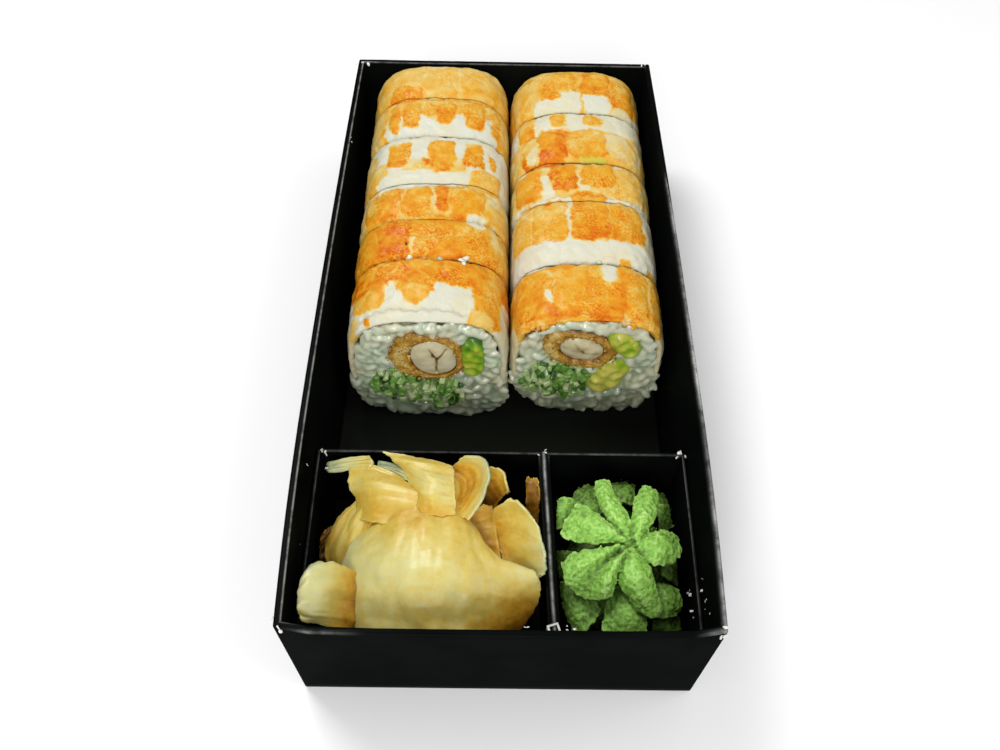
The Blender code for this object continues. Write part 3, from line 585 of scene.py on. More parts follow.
# Fillings of the two front slices, as shapes in the cut: middle, half sizes, tilt, squareness and roughness
FILLINGS = {
    "left": {
        "prawn_core": (-0.0196, 0.0290, 0.0063, 0.0074, 20, 2.2, 0.0003),
        "batter": (-0.0212, 0.0297, 0.0110, 0.0098, -20, 2.2, 0.0006),
        "avocado": (-0.0083, 0.0292, 0.0036, 0.0086, 0, 2.6, 0.0003),
        "cucumber": (-0.0247, 0.0155, 0.0134, 0.0068, -14, 2.6, 0.0006),
    },
    "right": {
        "prawn_core": (0.0228, 0.0314, 0.0063, 0.0044, -20, 2.2, 0.0003),
        "batter": (0.0221, 0.0315, 0.0110, 0.0075, -20, 2.2, 0.0006),
        "avocado_top": (0.0350, 0.0330, 0.0060, 0.0037, -50, 2.4, 0.0004),
        "avocado_low": (0.0316, 0.0190, 0.0050, 0.0080, -24, 2.6, 0.0003),
        "cucumber": (0.0166, 0.0172, 0.0102, 0.0074, -12, 2.6, 0.0006),
    },
}


def filling_radius(filling, angle, grow=0.0):
    """How far a filling's edge lies from its middle, before its tilt."""
    x, z, half_x, half_z, tilt, power, rough = filling
    across = np.abs(np.cos(angle)) / (half_x + grow)
    up = np.abs(np.sin(angle)) / (half_z + grow)
    even = (across ** power + up ** power) ** (-1 / power)
    spots = [(math.cos(a) * 2.2, math.sin(a) * 2.2, x * 440) for a in np.atleast_1d(angle)]
    return even + rough * wave(spots, 1.0, 0.0)


def in_filling(filling, x, z, grow):
    """Which spots of the cut lie in a filling."""
    tilt = math.radians(filling[4])
    across = (x - filling[0]) * math.cos(tilt) + (z - filling[1]) * math.sin(tilt)
    up = (z - filling[1]) * math.cos(tilt) - (x - filling[0]) * math.sin(tilt)
    return np.hypot(across, up) < filling_radius(filling, np.arctan2(up, across), grow)


def filled_spots(side, x, z, grow):
    """Which spots of the cut lie in some filling."""
    inside = np.zeros(len(x), bool)
    for filling in FILLINGS[side].values():
        inside |= in_filling(filling, x, z, grow)
    return inside


def rice_core(side, index, front_face):
    """A slice's block of rice, 1.3 mm inside where grains lie on it, with a lumpy skin."""
    roll = ROLLS[side]
    angles = even_angles(roll, 0.0, 2 * math.pi, 121)[:-1]
    x0, z0 = outline(roll, angles, 0.0)
    inset = np.where(z0 > PRAWN_EDGE_Z, SHEET_DEPTH + 0.0006, 0.0013)
    front_inset = 0.0011 if front_face else 0.0010
    shares = np.concatenate(([0, 0.02, 0.08], np.linspace(0.16, 0.84, 8), [0.92, 0.98, 1]))
    rows = []
    for share in shares:
        draw = 0.0013 * abs(2 * share - 1) ** 4
        x, z = outline(roll, angles, inset + draw)
        front = seam_y(roll, index, z) + front_inset
        back = seam_y(roll, index + 1, z) - 0.0010
        rows.append(np.stack((x, front + (back - front) * share, z), axis=-1))
    for turn in (-1, 1):
        for share in (0.85, 0.7, 0.55, 0.4, 0.25, 0.1, 0.02):
            ring = rows[0 if turn < 0 else -1].copy()
            edge = rows[len(rows) // 2]
            ring[:, 0] = roll["middle"] + (edge[:, 0] - roll["middle"]) * share
            ring[:, 2] = ROLL_MIDDLE_Z + (edge[:, 2] - ROLL_MIDDLE_Z) * share
            if turn < 0:
                ring[:, 1] = seam_y(roll, index, ring[:, 2]) + front_inset
                rows.insert(0, ring)
            else:
                ring[:, 1] = seam_y(roll, index + 1, ring[:, 2]) - 0.0010
                rows.append(ring)
    rows = np.array(rows)
    spots = rows.reshape(-1, 3)
    lumps = wave(spots, 420.0, 1.0)
    middle = spots.mean(axis=0)
    outward = spots - middle
    outward /= np.linalg.norm(outward, axis=1)[:, None]
    rows = (spots + outward * lumps[:, None] * 0.0004).reshape(rows.shape)
    core = grid_mesh(f"{side}_slice_{index + 1}_rice_core", rows, closed=True)
    close_ends(core)
    return core


def spread_spots(count, low, high, keep, least):
    """Random spots in a box that a test keeps, none closer to another than the least distance."""
    found = np.empty((0, 2))
    tries = rng.uniform(low, high, (count * 14, 2))
    tries = tries[keep(tries[:, 0], tries[:, 1])]
    for spot in tries:
        if len(found) == 0 or np.min(np.sum((found - spot) ** 2, axis=1)) > least * least:
            found = np.vstack((found, spot))
        if len(found) >= count:
            break
    return found


def in_roll(roll, x, z, inset):
    """Which spots lie inside a roll's outline."""
    across, up = x - roll["middle"], z - ROLL_MIDDLE_Z
    quarter = np.where(up >= 0, np.where(across >= 0, 0, 1), np.where(across < 0, 2, 3))
    power = np.array(roll["corners"])[quarter]
    half_z = np.where(up >= 0, roll["top"] - ROLL_MIDDLE_Z, ROLL_MIDDLE_Z - ROLL_FOOT) - inset
    return (np.abs(across) / (roll["half"] - inset)) ** power + (np.abs(up) / half_z) ** power < 1


def face_grains(side, index, back):
    """Grains on one cut of a slice. Those on the open front face lie rougher and in two layers."""
    roll = ROLLS[side]
    open_face = index == 0 and not back
    groups = []
    for layer, (count, least, sink) in enumerate(((340, 0.0017, 0.0013), (260, 0.0021, 0.0007))):
        if not open_face and layer == 0:
            continue

        def keep(x, z):
            edge = np.where(z > PRAWN_EDGE_Z, SHEET_DEPTH + 0.0012, 0.0014 if open_face else 0.0022)
            kept = in_roll(roll, x, z, edge)
            return kept & ~filled_spots(side, x, z, 0.0009 if layer else 0.0004) if index == 0 else kept

        low = (roll["middle"] - roll["half"], ROLL_FOOT)
        high = (roll["middle"] + roll["half"], roll["top"])
        flat = spread_spots(count, low, high, keep, least)
        x, z = flat[:, 0], flat[:, 1]
        sunk = sink + rng.uniform(-0.0003, 0.0004, len(x)) if open_face else np.full(len(x), 0.00125)
        y = seam_y(roll, index + 1, z) - GAP / 2 - sunk if back else seam_y(roll, index, z) + GAP / 2 + sunk
        normal = (0, 1 if back else -1, 0.0)
        groups.append(grains_at(np.stack((x, y, z), axis=-1), [normal] * len(x)))
    return groups


def side_grains(side, index):
    """Grains on the bare sides and foot of a slice, below the prawn."""
    roll = ROLLS[side]
    low_left = math.pi + edge_angle(roll, BARE_TOP_Z, 2)
    low_right = 2 * math.pi - edge_angle(roll, BARE_TOP_Z, 3)
    angles = even_angles(roll, low_left, low_right, 400)
    x0, z0 = outline(roll, angles, 0.0011)
    run = np.concatenate(([0], np.cumsum(np.hypot(np.diff(x0), np.diff(z0)))))
    front, back = roll["seams"][index] + 0.0012, roll["seams"][index + 1] - 0.0012
    count = int(run[-1] * (back - front) / 0.0000062)
    spots = spread_spots(count, (0, front), (run[-1], back), lambda u, y: u > -1, 0.0019)
    angle = np.interp(spots[:, 0], run, angles)
    x, z = outline(roll, angle, 0.0011)
    near_x, near_z = outline(roll, angle, 0.0)
    normals = np.stack((near_x - x, np.zeros(len(x)), near_z - z), axis=-1)
    normals /= np.linalg.norm(normals, axis=1)[:, None]
    lean = FACE_LEAN * (roll["top"] - z) / roll["top"] if index == 0 else 0
    y = spots[:, 1] - lean * (back - spots[:, 1]) / (back - front)
    return [grains_at(np.stack((x, y, z), axis=-1), normals)]


def ridge_height(piece, rounds):
    """How far each corner of a mesh stands out over the smooth mean of its surroundings, in metres."""
    corners = corner_array(piece)
    ends = np.empty(len(piece.data.edges) * 2, dtype=int)
    piece.data.edges.foreach_get("vertices", ends)
    ends = ends.reshape(-1, 2)
    count = np.bincount(ends.ravel(), minlength=len(corners))[:, None]
    smooth = corners.copy()
    for _ in range(rounds):
        total = np.stack([np.bincount(ends[:, 0], smooth[ends[:, 1], axis], len(corners))
                          + np.bincount(ends[:, 1], smooth[ends[:, 0], axis], len(corners))
                          for axis in range(3)], axis=-1)
        smooth = total / np.maximum(count, 1)
    normals = np.empty(len(corners) * 3)
    piece.data.vertices.foreach_get("normal", normals)
    return np.sum((corners - smooth) * normals.reshape(-1, 3), axis=1)


def press_together(grains, core):
    """Melt the grains of a cut face and a copy of their core into one sticky skin in which they still show."""
    block = core.copy()
    block.data = core.data.copy()
    block.data.transform(Matrix.Translation((0, -MIDDLE_SHIFT, 0)))
    bpy.context.collection.objects.link(block)
    select_only(grains, block)
    bpy.ops.object.join()
    fused = grains.modifiers.new("fused", "REMESH")
    fused.mode, fused.voxel_size = "VOXEL", 0.00035
    soft = grains.modifiers.new("soft", "SMOOTH")
    soft.factor, soft.iterations = 0.5, 7
    apply_modifiers(grains)
    corners = corner_array(grains)
    layer = grains.data.attributes.get("grain_tone") or grains.data.attributes.new("grain_tone", "FLOAT", "POINT")
    # Painted shade: the cut rice is darker low down and in the hollows between grains, lighter on their ridges.
    raised = np.clip(ridge_height(grains, 9) / 0.00025, -1, 1)
    shade = 0.20 + 17.0 * (corners[:, 2] - 0.008) + 0.30 * wave(corners, 260.0, 5.0) + 0.55 * raised
    layer.data.foreach_set("value", np.clip(shade, 0, 1).astype(np.float32))
    grains.data.polygons.foreach_set("use_smooth", [True] * len(grains.data.polygons))


for side, roll in ROLLS.items():
    for index in range(len(roll["seams"]) - 1):
        core = rice_core(side, index, index == 0)
        dress(core, rice_core_material)
        place(core, "sushi_rice", f"{side}_slice_{index + 1}_rice")
        groups = face_grains(side, index, False) + face_grains(side, index, True) + side_grains(side, index)
        grains = grain_piece(f"{side}_slice_{index + 1}_grains", groups,
                             rice_grain_material if index else rice_face_material)
        if index == 0:
            press_together(grains, core)
        place(grains, "sushi_rice", f"{side}_slice_{index + 1}_rice")


# Fillings of the front slices
# Prawn meat fried in a crumbly batter, avocado and cucumber run through each slice and are cut with it. The meat
# is smooth and cracked, the batter a crust of crumbs, the avocado soft, and the cucumber a bundle of thin sticks.

FACE_PROUD = 0.0004
# Each crack's two ends in the cut, in mm
CRACKS = {
    "left": (((-20.6, 33.5), (-18.6, 29.6)), ((-15.9, 33.2), (-18.6, 29.6)), ((-18.6, 29.6), (-18.9, 22.6))),
    "right": (((17.6, 32.8), (23.0, 31.4)), ((23.0, 31.4), (28.0, 30.2)), ((20.5, 34.4), (23.0, 31.4))),
}


def filling_ring(filling, angles, share, grow=0.0):
    """Points on a filling's outline in the cut, drawn in to a share of its size."""
    tilt = math.radians(filling[4])
    radius = filling_radius(filling, angles, grow) * share
    across, up = radius * np.cos(angles), radius * np.sin(angles)
    return (filling[0] + across * math.cos(tilt) - up * math.sin(tilt),
            filling[1] + across * math.sin(tilt) + up * math.cos(tilt))


def face_y(side, z):
    """Where the fillings' front stands, just proud of the cut."""
    return seam_y(ROLLS[side], 0, z) + GAP / 2 - FACE_PROUD


def filled_block(name, side, filling, relief, inner=None):
    """A filling from the front cut to the back one, or the crust between an inner filling and its own edge."""
    angles = np.linspace(0, 2 * math.pi, 141)[:-1]
    outer_x, outer_z = filling_ring(filling, angles, 1.0)
    inner_x, inner_z = filling_ring(inner, angles, 1.0, 0.0003) if inner else (filling[0], filling[1])
    rows = []
    for share in np.linspace(0.0 if inner else 0.02, 1.0, 30):
        x = inner_x + (outer_x - inner_x) * share
        z = inner_z + (outer_z - inner_z) * share
        edge = min(share, 1 - share) * 2 if inner else 1 - share
        y = face_y(side, z) + relief(x, z, edge)
        rows.append(np.stack((x, y, z), axis=-1))
    for share in np.linspace(0.1, 1.0, 8):
        back = rows[29].copy()
        back[:, 1] += (ROLLS[side]["seams"][1] - GAP - back[:, 1]) * share
        rows.append(back)
    if inner:
        core = rows[0].copy()
        core[:, 1] = ROLLS[side]["seams"][1] - GAP
        rows += [core, rows[0].copy()]
    block = grid_mesh(name, rows, closed=True)
    close_ends(block, 0.000002)
    return block


def spots_of(x, z, depth=0.0):
    """Places in the cut as points for the smooth noise."""
    return np.stack((x, np.full(len(x), depth), z), axis=-1)


def line_distance(x, z, start, end):
    """How far spots in the cut lie from a line between two places, given in mm."""
    start, end = np.array(start) / 1000, np.array(end) / 1000
    along = end - start
    share = np.clip(((x - start[0]) * along[0] + (z - start[1]) * along[1]) / (along @ along), 0, 1)
    return np.hypot(x - start[0] - along[0] * share, z - start[1] - along[1] * share)


def tones_along(tree, source, stops):
    """Colours along a value, from pairs of a place and a colour."""
    node = add_node(tree, "ShaderNodeValToRGB")
    while len(node.color_ramp.elements) < len(stops):
        node.color_ramp.elements.new(0.5)
    for element, (position, color) in zip(node.color_ramp.elements, stops):
        element.position, element.color = position, (*color, 1)
    tree.links.new(source, node.inputs["Fac"])
    return node.outputs["Color"]


def soft_food(name, tones, attribute, roughness, scatter, reach, coat):
    """Moist food whose colour follows a painted attribute, with light that spreads in it."""
    material, tree, shader = shader_of(name, tones[0][1], roughness)
    paint = add_node(tree, "ShaderNodeAttribute", attribute_name=attribute)
    cloud = map_range(tree, object_noise(tree, 480.0, 4.0, 0.6), 0.3, 0.7, -0.08, 0.08)
    both = calculate(tree, "ADD", paint.outputs["Fac"], cloud)
    tree.links.new(tones_along(tree, both, tones), shader.inputs["Base Color"])
    shader.inputs["Subsurface Weight"].default_value = scatter
    shader.inputs["Subsurface Radius"].default_value = (1.0, 0.7, 0.35)
    shader.inputs["Subsurface Scale"].default_value = reach
    shader.inputs["Coat Weight"].default_value = coat
    shader.inputs["Coat Roughness"].default_value = 0.15
    bump(tree, shader, object_noise(tree, 1100.0, 3.0), 0.2, 0.0003)
    return material


prawn_meat = soft_food("prawn meat", ((0.0, (0.08, 0.04, 0.010)), (0.35, (0.36, 0.27, 0.12)),
                                      (0.6, (0.55, 0.48, 0.27)), (1.0, (0.68, 0.63, 0.42))),
                       "meat_tone", 0.32, 0.4, 0.0015, 0.4)
fried_batter = soft_food("fried batter", ((0.0, (0.05, 0.015, 0.002)), (0.3, (0.19, 0.075, 0.006)),
                                          (0.6, (0.40, 0.20, 0.016)), (0.85, (0.53, 0.32, 0.048)),
                                          (1.0, (0.64, 0.50, 0.19))),
                         "crust_tone", 0.55, 0.15, 0.0006, 0.25)
avocado_flesh = soft_food("avocado flesh", ((0.0, (0.035, 0.12, 0.005)), (0.35, (0.14, 0.33, 0.012)),
                                            (0.65, (0.34, 0.45, 0.025)), (1.0, (0.58, 0.54, 0.10))),
                          "ripe_tone", 0.38, 0.3, 0.0012, 0.3)
cucumber_flesh = soft_food("cucumber sticks", ((0.0, (0.006, 0.022, 0.004)), (0.35, (0.045, 0.14, 0.016)),
                                               (0.65, (0.17, 0.36, 0.055)), (1.0, (0.52, 0.62, 0.30))),
                           "stick_tone", 0.30, 0.3, 0.0010, 0.45)


def prawn_meat_block(side):
    """The cut prawn in the middle of the batter: a low dome with cracks."""
    filling = FILLINGS[side]["prawn_core"]

    def relief(x, z, edge):
        spots = spots_of(x, z, filling[0])
        dome = 0.0012 * (1 - min(edge * 1.5, 1.0)) ** 2 - 0.0006
        crack = np.zeros(len(x))
        for start, end in CRACKS[side]:
            crack = np.maximum(crack, np.exp(-(line_distance(x, z, start, end) / 0.00022) ** 2))
        return dome + 0.0011 * crack * (side == "left") + 0.0002 * wave(spots, 400.0, 3.0)

    block = filled_block(f"{side}_front_prawn_meat", side, filling, relief)
    corners = corner_array(block)
    wavy = corners + 0.0005 * wave(corners, 500.0, 8.0)[:, None]
    tone = np.full(len(corners), 0.92 if side == "left" else 0.78)
    # Painted shade: the meat is darker in and around its cracks.
    for start, end in CRACKS[side]:
        near = line_distance(wavy[:, 0], wavy[:, 2], start, end)
        tone -= (0.62 if side == "left" else 0.16) * np.exp(-(near / 0.00028) ** 2)
        tone -= 0.16 * np.exp(-(near / 0.0012) ** 2)
    tone += 0.20 * wave(corners * (1, 1, 2.2), 320.0, 4.0)
    paint_points(block, "meat_tone", tone)
    dress(block, prawn_meat)
    place(block, "prawn_core", f"{side}_front_prawn_core")


def batter_crust(side):
    """The crust round the prawn meat, with loose crumbs on its cut."""
    filling, core = FILLINGS[side]["batter"], FILLINGS[side]["prawn_core"]

    def relief(x, z, edge):
        spots = spots_of(x, z)
        lumps = wave(spots, 500.0, 1.0) * 0.35 + wave(spots, 1900.0, 2.0) * 0.18
        return 0.0008 * (1 - edge) ** 2 + 0.0009 * lumps - 0.0002

    crust = filled_block(f"{side}_front_batter_crust", side, filling, relief, core)
    corners = corner_array(crust)
    # Painted shade: the crust is darker where it lies further back from the cut.
    depth = corners[:, 1] - face_y(side, corners[:, 2])
    tone = 0.60 - 380 * depth + 0.35 * wave(corners, 500.0, 6.0) + 0.25 * wave(corners, 2600.0, 7.0)
    # The crust is lighter towards its left side.
    fatty = np.exp(-((corners[:, 0] - filling[0] + 0.0085) / 0.0028) ** 2)
    tone += 0.30 * fatty
    paint_points(crust, "crust_tone", np.clip(tone, 0, 1))
    dress(crust, fried_batter)
    place(crust, "batter", f"{side}_front_batter")
    flat = spread_spots(150, (filling[0] - 0.013, filling[1] - 0.012), (filling[0] + 0.013, filling[1] + 0.012),
                        lambda x, z: in_filling(filling, x, z, 0.0004) & ~in_filling(core, x, z, 0.0004), 0.0010)
    nuggets(f"{side}_front_batter_crumbs", side, flat, (0.0002, 0.0006), "crust_tone", fried_batter, "batter",
            f"{side}_front_batter")


def nuggets(name, side, flat, sizes, attribute, material, slot, node):
    """Small uneven crumbs that stand on the cut face."""
    bm = bmesh.new()
    layer = bm.verts.layers.float.new(attribute)
    for x, z in flat:
        size = rng.uniform(*sizes)
        made = bmesh.ops.create_icosphere(bm, subdivisions=1, radius=size)["verts"]
        squeeze = rng.uniform(0.55, 1.0, 3)
        tone = rng.uniform(0.35, 0.95)
        y = face_y(side, z) - size * 0.15
        for vert in made:
            knobbly = 1 + 0.35 * noise.noise(vert.co / size * 1.3 + Vector((x, z, 0)) * 5000)
            vert.co = Vector([part * shrink for part, shrink in zip(vert.co * knobbly, squeeze)]) + Vector((x, y, z))
            vert[layer] = tone
    piece = built_piece(name, bm)
    piece.data.materials.append(material)
    place(piece, slot, node)


def avocado_piece(side, kind, low_tone, high_tone):
    """A soft lump of avocado, greener or paler towards its top."""
    filling = FILLINGS[side][kind]

    def relief(x, z, edge):
        spots = spots_of(x, z)
        return 0.0014 * (1 - min(edge * 2.2, 1.0)) ** 2 - 0.0005 + 0.0009 * wave(spots, 420.0, filling[0] * 900)

    piece = filled_block(f"{side}_front_{kind}_piece", side, filling, relief)
    corners = corner_array(piece)
    height = np.clip((corners[:, 2] - filling[1]) / filling[3] * 0.5 + 0.5, 0, 1)
    # Painted shade: the avocado is darker where it lies further back from the cut.
    depth = corners[:, 1] - face_y(side, corners[:, 2])
    tone = low_tone + (high_tone - low_tone) * height - 200 * depth + 0.40 * wave(corners, 380.0, 12.0)
    paint_points(piece, "ripe_tone", np.clip(tone, 0, 1))
    dress(piece, avocado_flesh)
    place(piece, "avocado", f"{side}_front_{kind}")


def cucumber_bundle(side, pale):
    """A bundle painted dark as the shade between its sticks, with the cut ends of the sticks standing on it, each a
    small bent square.
    """
    filling = FILLINGS[side]["cucumber"]
    bundle = filled_block(f"{side}_front_cucumber_bundle", side, filling,
                          lambda x, z, edge: 0.0016 + 0.0006 * wave(spots_of(x, z), 600.0, 2.0))
    corners = corner_array(bundle)
    # Painted shade: the bundle between the sticks is dark.
    paint_points(bundle, "stick_tone", 0.22 + 0.3 * wave(corners, 600.0, 2.0))
    dress(bundle, cucumber_flesh)
    place(bundle, "cucumber", f"{side}_front_cucumber")
    others = [shape for kind, shape in FILLINGS[side].items() if kind != "cucumber"]

    def keep(x, z):
        kept = in_filling(filling, x, z, 0.0002)
        for shape in others:
            kept &= ~in_filling(shape, x, z, 0.0005)
        return kept

    flat = spread_spots(190, (filling[0] - 0.015, filling[1] - 0.010), (filling[0] + 0.015, filling[1] + 0.010),
                        keep, 0.00165)
    bm = bmesh.new()
    layer = bm.verts.layers.float.new("stick_tone")
    for x, z in flat:
        width, height = rng.uniform(0.0012, 0.0024, 2)
        turn = Matrix.Rotation(rng.uniform(0, math.pi), 4, "Y") @ Matrix.Rotation(rng.normal(0, 0.35), 4, "X")
        proud = rng.uniform(-0.0006, 0.0010)
        spot = Vector((x, face_y(side, z) + 0.0016 - proud, z))
        made = bmesh.ops.create_cube(bm, size=1.0)["verts"]
        tone = np.clip(rng.normal(0.66, 0.20) + (0.25 if rng.uniform() < pale else 0), 0.1, 1.0)
        for vert in made:
            corner = Vector((vert.co.x * width, vert.co.y * 0.0036, vert.co.z * height))
            vert[layer] = tone + rng.uniform(-0.15, 0.15)
            vert.co = spot + turn @ corner
    bmesh.ops.bevel(bm, geom=bm.edges[:], offset=0.00028, segments=2, profile=0.6, affect="EDGES")
    sticks = built_piece(f"{side}_front_cucumber_sticks", bm)
    dress(sticks, cucumber_flesh)
    place(sticks, "cucumber", f"{side}_front_cucumber")


for side, pale in (("left", 0.12), ("right", 0.35)):
    prawn_meat_block(side)
    batter_crust(side)
    cucumber_bundle(side, pale)
avocado_piece("left", "avocado", 0.72, 0.22)
avocado_piece("right", "avocado_top", 0.55, 0.85)
avocado_piece("right", "avocado_low", 0.95, 0.78)


# Cooked prawns over the rolls
# Butterflied prawns lie across each roll and are cut with it, so every slice wears its own piece of bent sheet.
# Each prawn is creamy white with one orange patch a segment, and its edge laps over the prawn behind.
# Patches are left, right, front and back edges in mm (across from the roll's middle over its top, and along the
# tray), then how orange it is, how strong its red outline is, and how far its front edge bulges.

PATCHES = {
    "left": (
        (-50, 50, 78.3, 99, .42, 0, 0), (-2, 4.5, 94.5, 99, .10, 0, 0), (-6.1, -5.5, 84, 96, .22, 0, 0),
        (6.3, 6.9, 79, 95, .22, 0, 0), (-17, -6, 78.6, 85.5, .72, .8, .5), (-5, 6, 78.6, 84, .36, 0, 0),
        (7, 20, 78.6, 84, .44, .2, 0), (-50, 50, 61, 78.2, .50, 0, 0), (-18, 21, 60.8, 70.5, 0, 0, 0),
        (-16.4, -12.6, 63.2, 76, .66, .3, 1.0), (-11.3, -5.5, 65.2, 76, .62, .3, .8), (-4.6, -1, 69, 76, .45, .1, .6),
        (-.6, 5.6, 67.2, 76, .66, .3, 1.0), (9.4, 15.7, 65, 76, .62, .3, 1.0), (18.3, 22, 64, 76, .60, .2, 0),
        (-50, -19, 55, 78, .34, 0, 0), (21.5, 50, 55, 78, .42, 0, 0),
        (-50, 50, 37.5, 60.8, .02, 0, 0), (-22, -14.5, 41.5, 49.5, .32, .1, 0), (-11, 10, 44.5, 49.5, .28, .1, 0),
        (-14.8, -8.2, 47, 57.5, .62, .4, .8), (-3.8, -1.7, 46.8, 50.4, .96, .5, 0),
        (-1.4, 5.9, 44.4, 58, .66, .7, 1.2), (9.2, 15.4, 46, 57, .66, .6, -.8), (17.5, 20.5, 48, 54, .55, .3, 0), (11, 23, 32, 46, .48, .9, 0),
        (-50, -20, 37, 56, .36, 0, 0), (-18.5, 9, 38, 43.5, .02, 0, 0),
        (-50, 50, 25.6, 37.6, .24, 0, 0), (-23, -9.6, 25.8, 36.6, .62, .5, .5), (-8.6, -.5, 26, 37.2, .64, .5, .5),
        (1.0, 4.9, 27.5, 38.6, .86, .9, .5), (5.3, 16.2, 25.6, 38.2, .62, .6, .8), (17, 40, 22, 32, .40, .3, 0),
        (-50, 50, 8.9, 25.5, .66, 0, 0), (-15.9, -5.9, 10.5, 24, .80, .3, 0), (-4.4, 8, 17.6, 26.2, .60, .3, 0),
        (10.7, 17.4, 21, 27.5, .04, .2, 0), (-5.8, -4.7, 9.5, 17.4, .22, 0, 0), (-5, 11, 16.7, 17.3, .30, 0, 0),
        (17.5, 50, 9, 26, .50, .3, 0), (19, 22, 15, 25, .24, .2, 0),
        (-50, 50, -2.5, 8.7, .72, 0, 0), (-50, 50, -10.5, -2, .02, 0, 0), (-23, -6.6, -4.5, 8.1, .80, .4, .6),
        (-6.1, 4.3, -3.6, 8.3, .70, .5, 1.5), (4.6, 15.6, -3, 8, .70, .4, -2.2), (-11.3, -7.3, -8, -1.2, .02, 0, 0),
        (2, 6.2, -6, -1, .02, 0, 0), (-24, -12, -9, -3, .52, .2, .5), (-6.6, .5, -7.5, -2, .52, .1, 1.0),
        (13.4, 24, -14, 2, .62, .3, 0), (-50, 12, -18, -10.4, .03, 0, 0), (-18.2, -16.2, -15, -11.6, .78, .2, 0),
        (-34, -21.5, -16, -9.5, .30, .1, 0), (12.5, 20, -18, -10, .40, .2, 0), (23, 50, -18, -3, .08, 0, 0),
        (-50, -27, -18, -6, .10, 0, 0),
    ),
    "right": (
        (-50, 50, 74.4, 97, .50, 0, 0), (-26, -12.5, 75, 93, .42, .2, 0), (-11.7, -1, 80.5, 94.5, .60, .3, .5),
        (1, 10.6, 82, 95, .68, .4, .8), (11.4, 20.5, 77.5, 92, .62, .3, 0), (-15, -1.6, 74.4, 80.6, .02, 0, 0),
        (-6.5, .9, 74.4, 84, .03, 0, 0), (1.5, 10.8, 74.4, 82.6, .02, 0, 0), (11, 26, 68, 78, .12, 0, 0),
        (-50, 50, 62.8, 74.3, .06, 0, 0), (-22, -15.4, 64.5, 73, .52, .2, .5), (-10.2, -5.1, 67.3, 73.6, .52, .1, .4),
        (1.1, 6.5, 67.3, 73, .52, .1, .4), (13, 26, 61, 72, .10, 0, 0),
        (-50, 50, 50.2, 64.6, .36, 0, 0), (-14, -3.5, 57, 65.6, .74, .8, .5), (-20, -5.2, 50.2, 58.6, .94, .5, 1.0),
        (-18.3, -13.8, 51.5, 59, .12, .2, 0), (-4.8, 8.1, 53.4, 65, .50, .5, .5), (8.5, 16, 53.5, 64, .22, .8, .5),
        (-50, 50, 35.8, 50, .28, 0, 0), (-24, -13.2, 36.2, 48.6, .60, .3, .8), (-13.2, -8.7, 35, 44, .05, 0, 0),
        (-10.2, -1.5, 39, 49.5, .76, .8, 1.0), (-1.6, 2, 37, 46, .10, 0, 0), (-.4, 9.7, 40, 50.2, .62, .5, .8),
        (10.2, 21, 31.5, 48, .42, .3, 0),
        (-50, 50, 15.8, 35.6, .10, 0, 0), (-16.5, -5.8, 17, 33.4, .48, 1.0, .5), (-14, -9.6, 31.4, 34, .96, .3, 0),
        (-2.2, 2.6, 32.6, 38, .90, .6, 0), (-4.3, 6.6, 16.8, 36.6, .72, 1.0, 3.0),
        (6.9, 18.2, 17.8, 33.5, .62, 1.0, .8),
        (-26, -17, 17, 34, .42, .2, 0), (-21, 22, 9.6, 16.6, .03, 0, 0),
        (-50, 50, -11, 7.8, .60, 0, 0), (-24, -10.8, -10.5, 7, .64, .2, 0), (-10.4, -.7, -10.5, 8.5, .60, .2, 0),
        (-.4, 10, -10.5, 7.5, .66, .3, 0), (-12.5, -10.3, -6.5, -1.7, .05, 0, 0), (3.4, 7.6, .6, 11, .03, .2, 0),
        (8.4, 13.6, 2.5, 10, .60, .3, 0), (10.4, 17, -10.5, 2, .56, .3, 0), (17.5, 19, -9, 8, .30, .5, 0),
        (19, 50, -11, 10, .56, .2, 0),
        (-50, 50, -18, -11, .54, .6, 0), (-.6, 8.6, -18, -8.6, .88, .6, .5), (8.8, 11.6, -18, -11, .16, 0, 0),
        (12, 24, -18, -11, .60, .3, 0), (24, 50, -18, -5, .12, 0, 0), (-50, -26, -18, -7, .14, 0, 0),
    ),
}
# Edges where a prawn laps over the one behind: place along the tray, from and to across it, bulge, step, redness
LAPS = {
    "left": ((78.3, -22, 22, 1.0, .00050, .8), (60.9, -24, 24, .8, .00055, .1), (37.6, -20, 20, 2.2, .00045, .2),
             (25.6, -22, 24, 3.0, .00045, .4), (17, -6, 11, .4, .00030, 0), (8.7, -26, 20, 2.6, .00060, .9),
             (-10.4, -22, 12, 1.6, .00055, 0)),
    "right": ((74.4, -18, 22, .8, .00055, .1), (64.8, -24, -2, 3.4, .00050, .9), (50.2, -22, 22, 1.8, .00050, .8),
              (35.8, -24, 24, 1.6, .00045, .5), (8.6, -22, 22, 1.8, .00055, .3), (-11, -20, 18, 2.6, .00045, .9)),
}
def smooth_step(value):
    """A soft change from 0 to 1."""
    value = np.clip(value, 0, 1)
    return value * value * (3 - 2 * value)


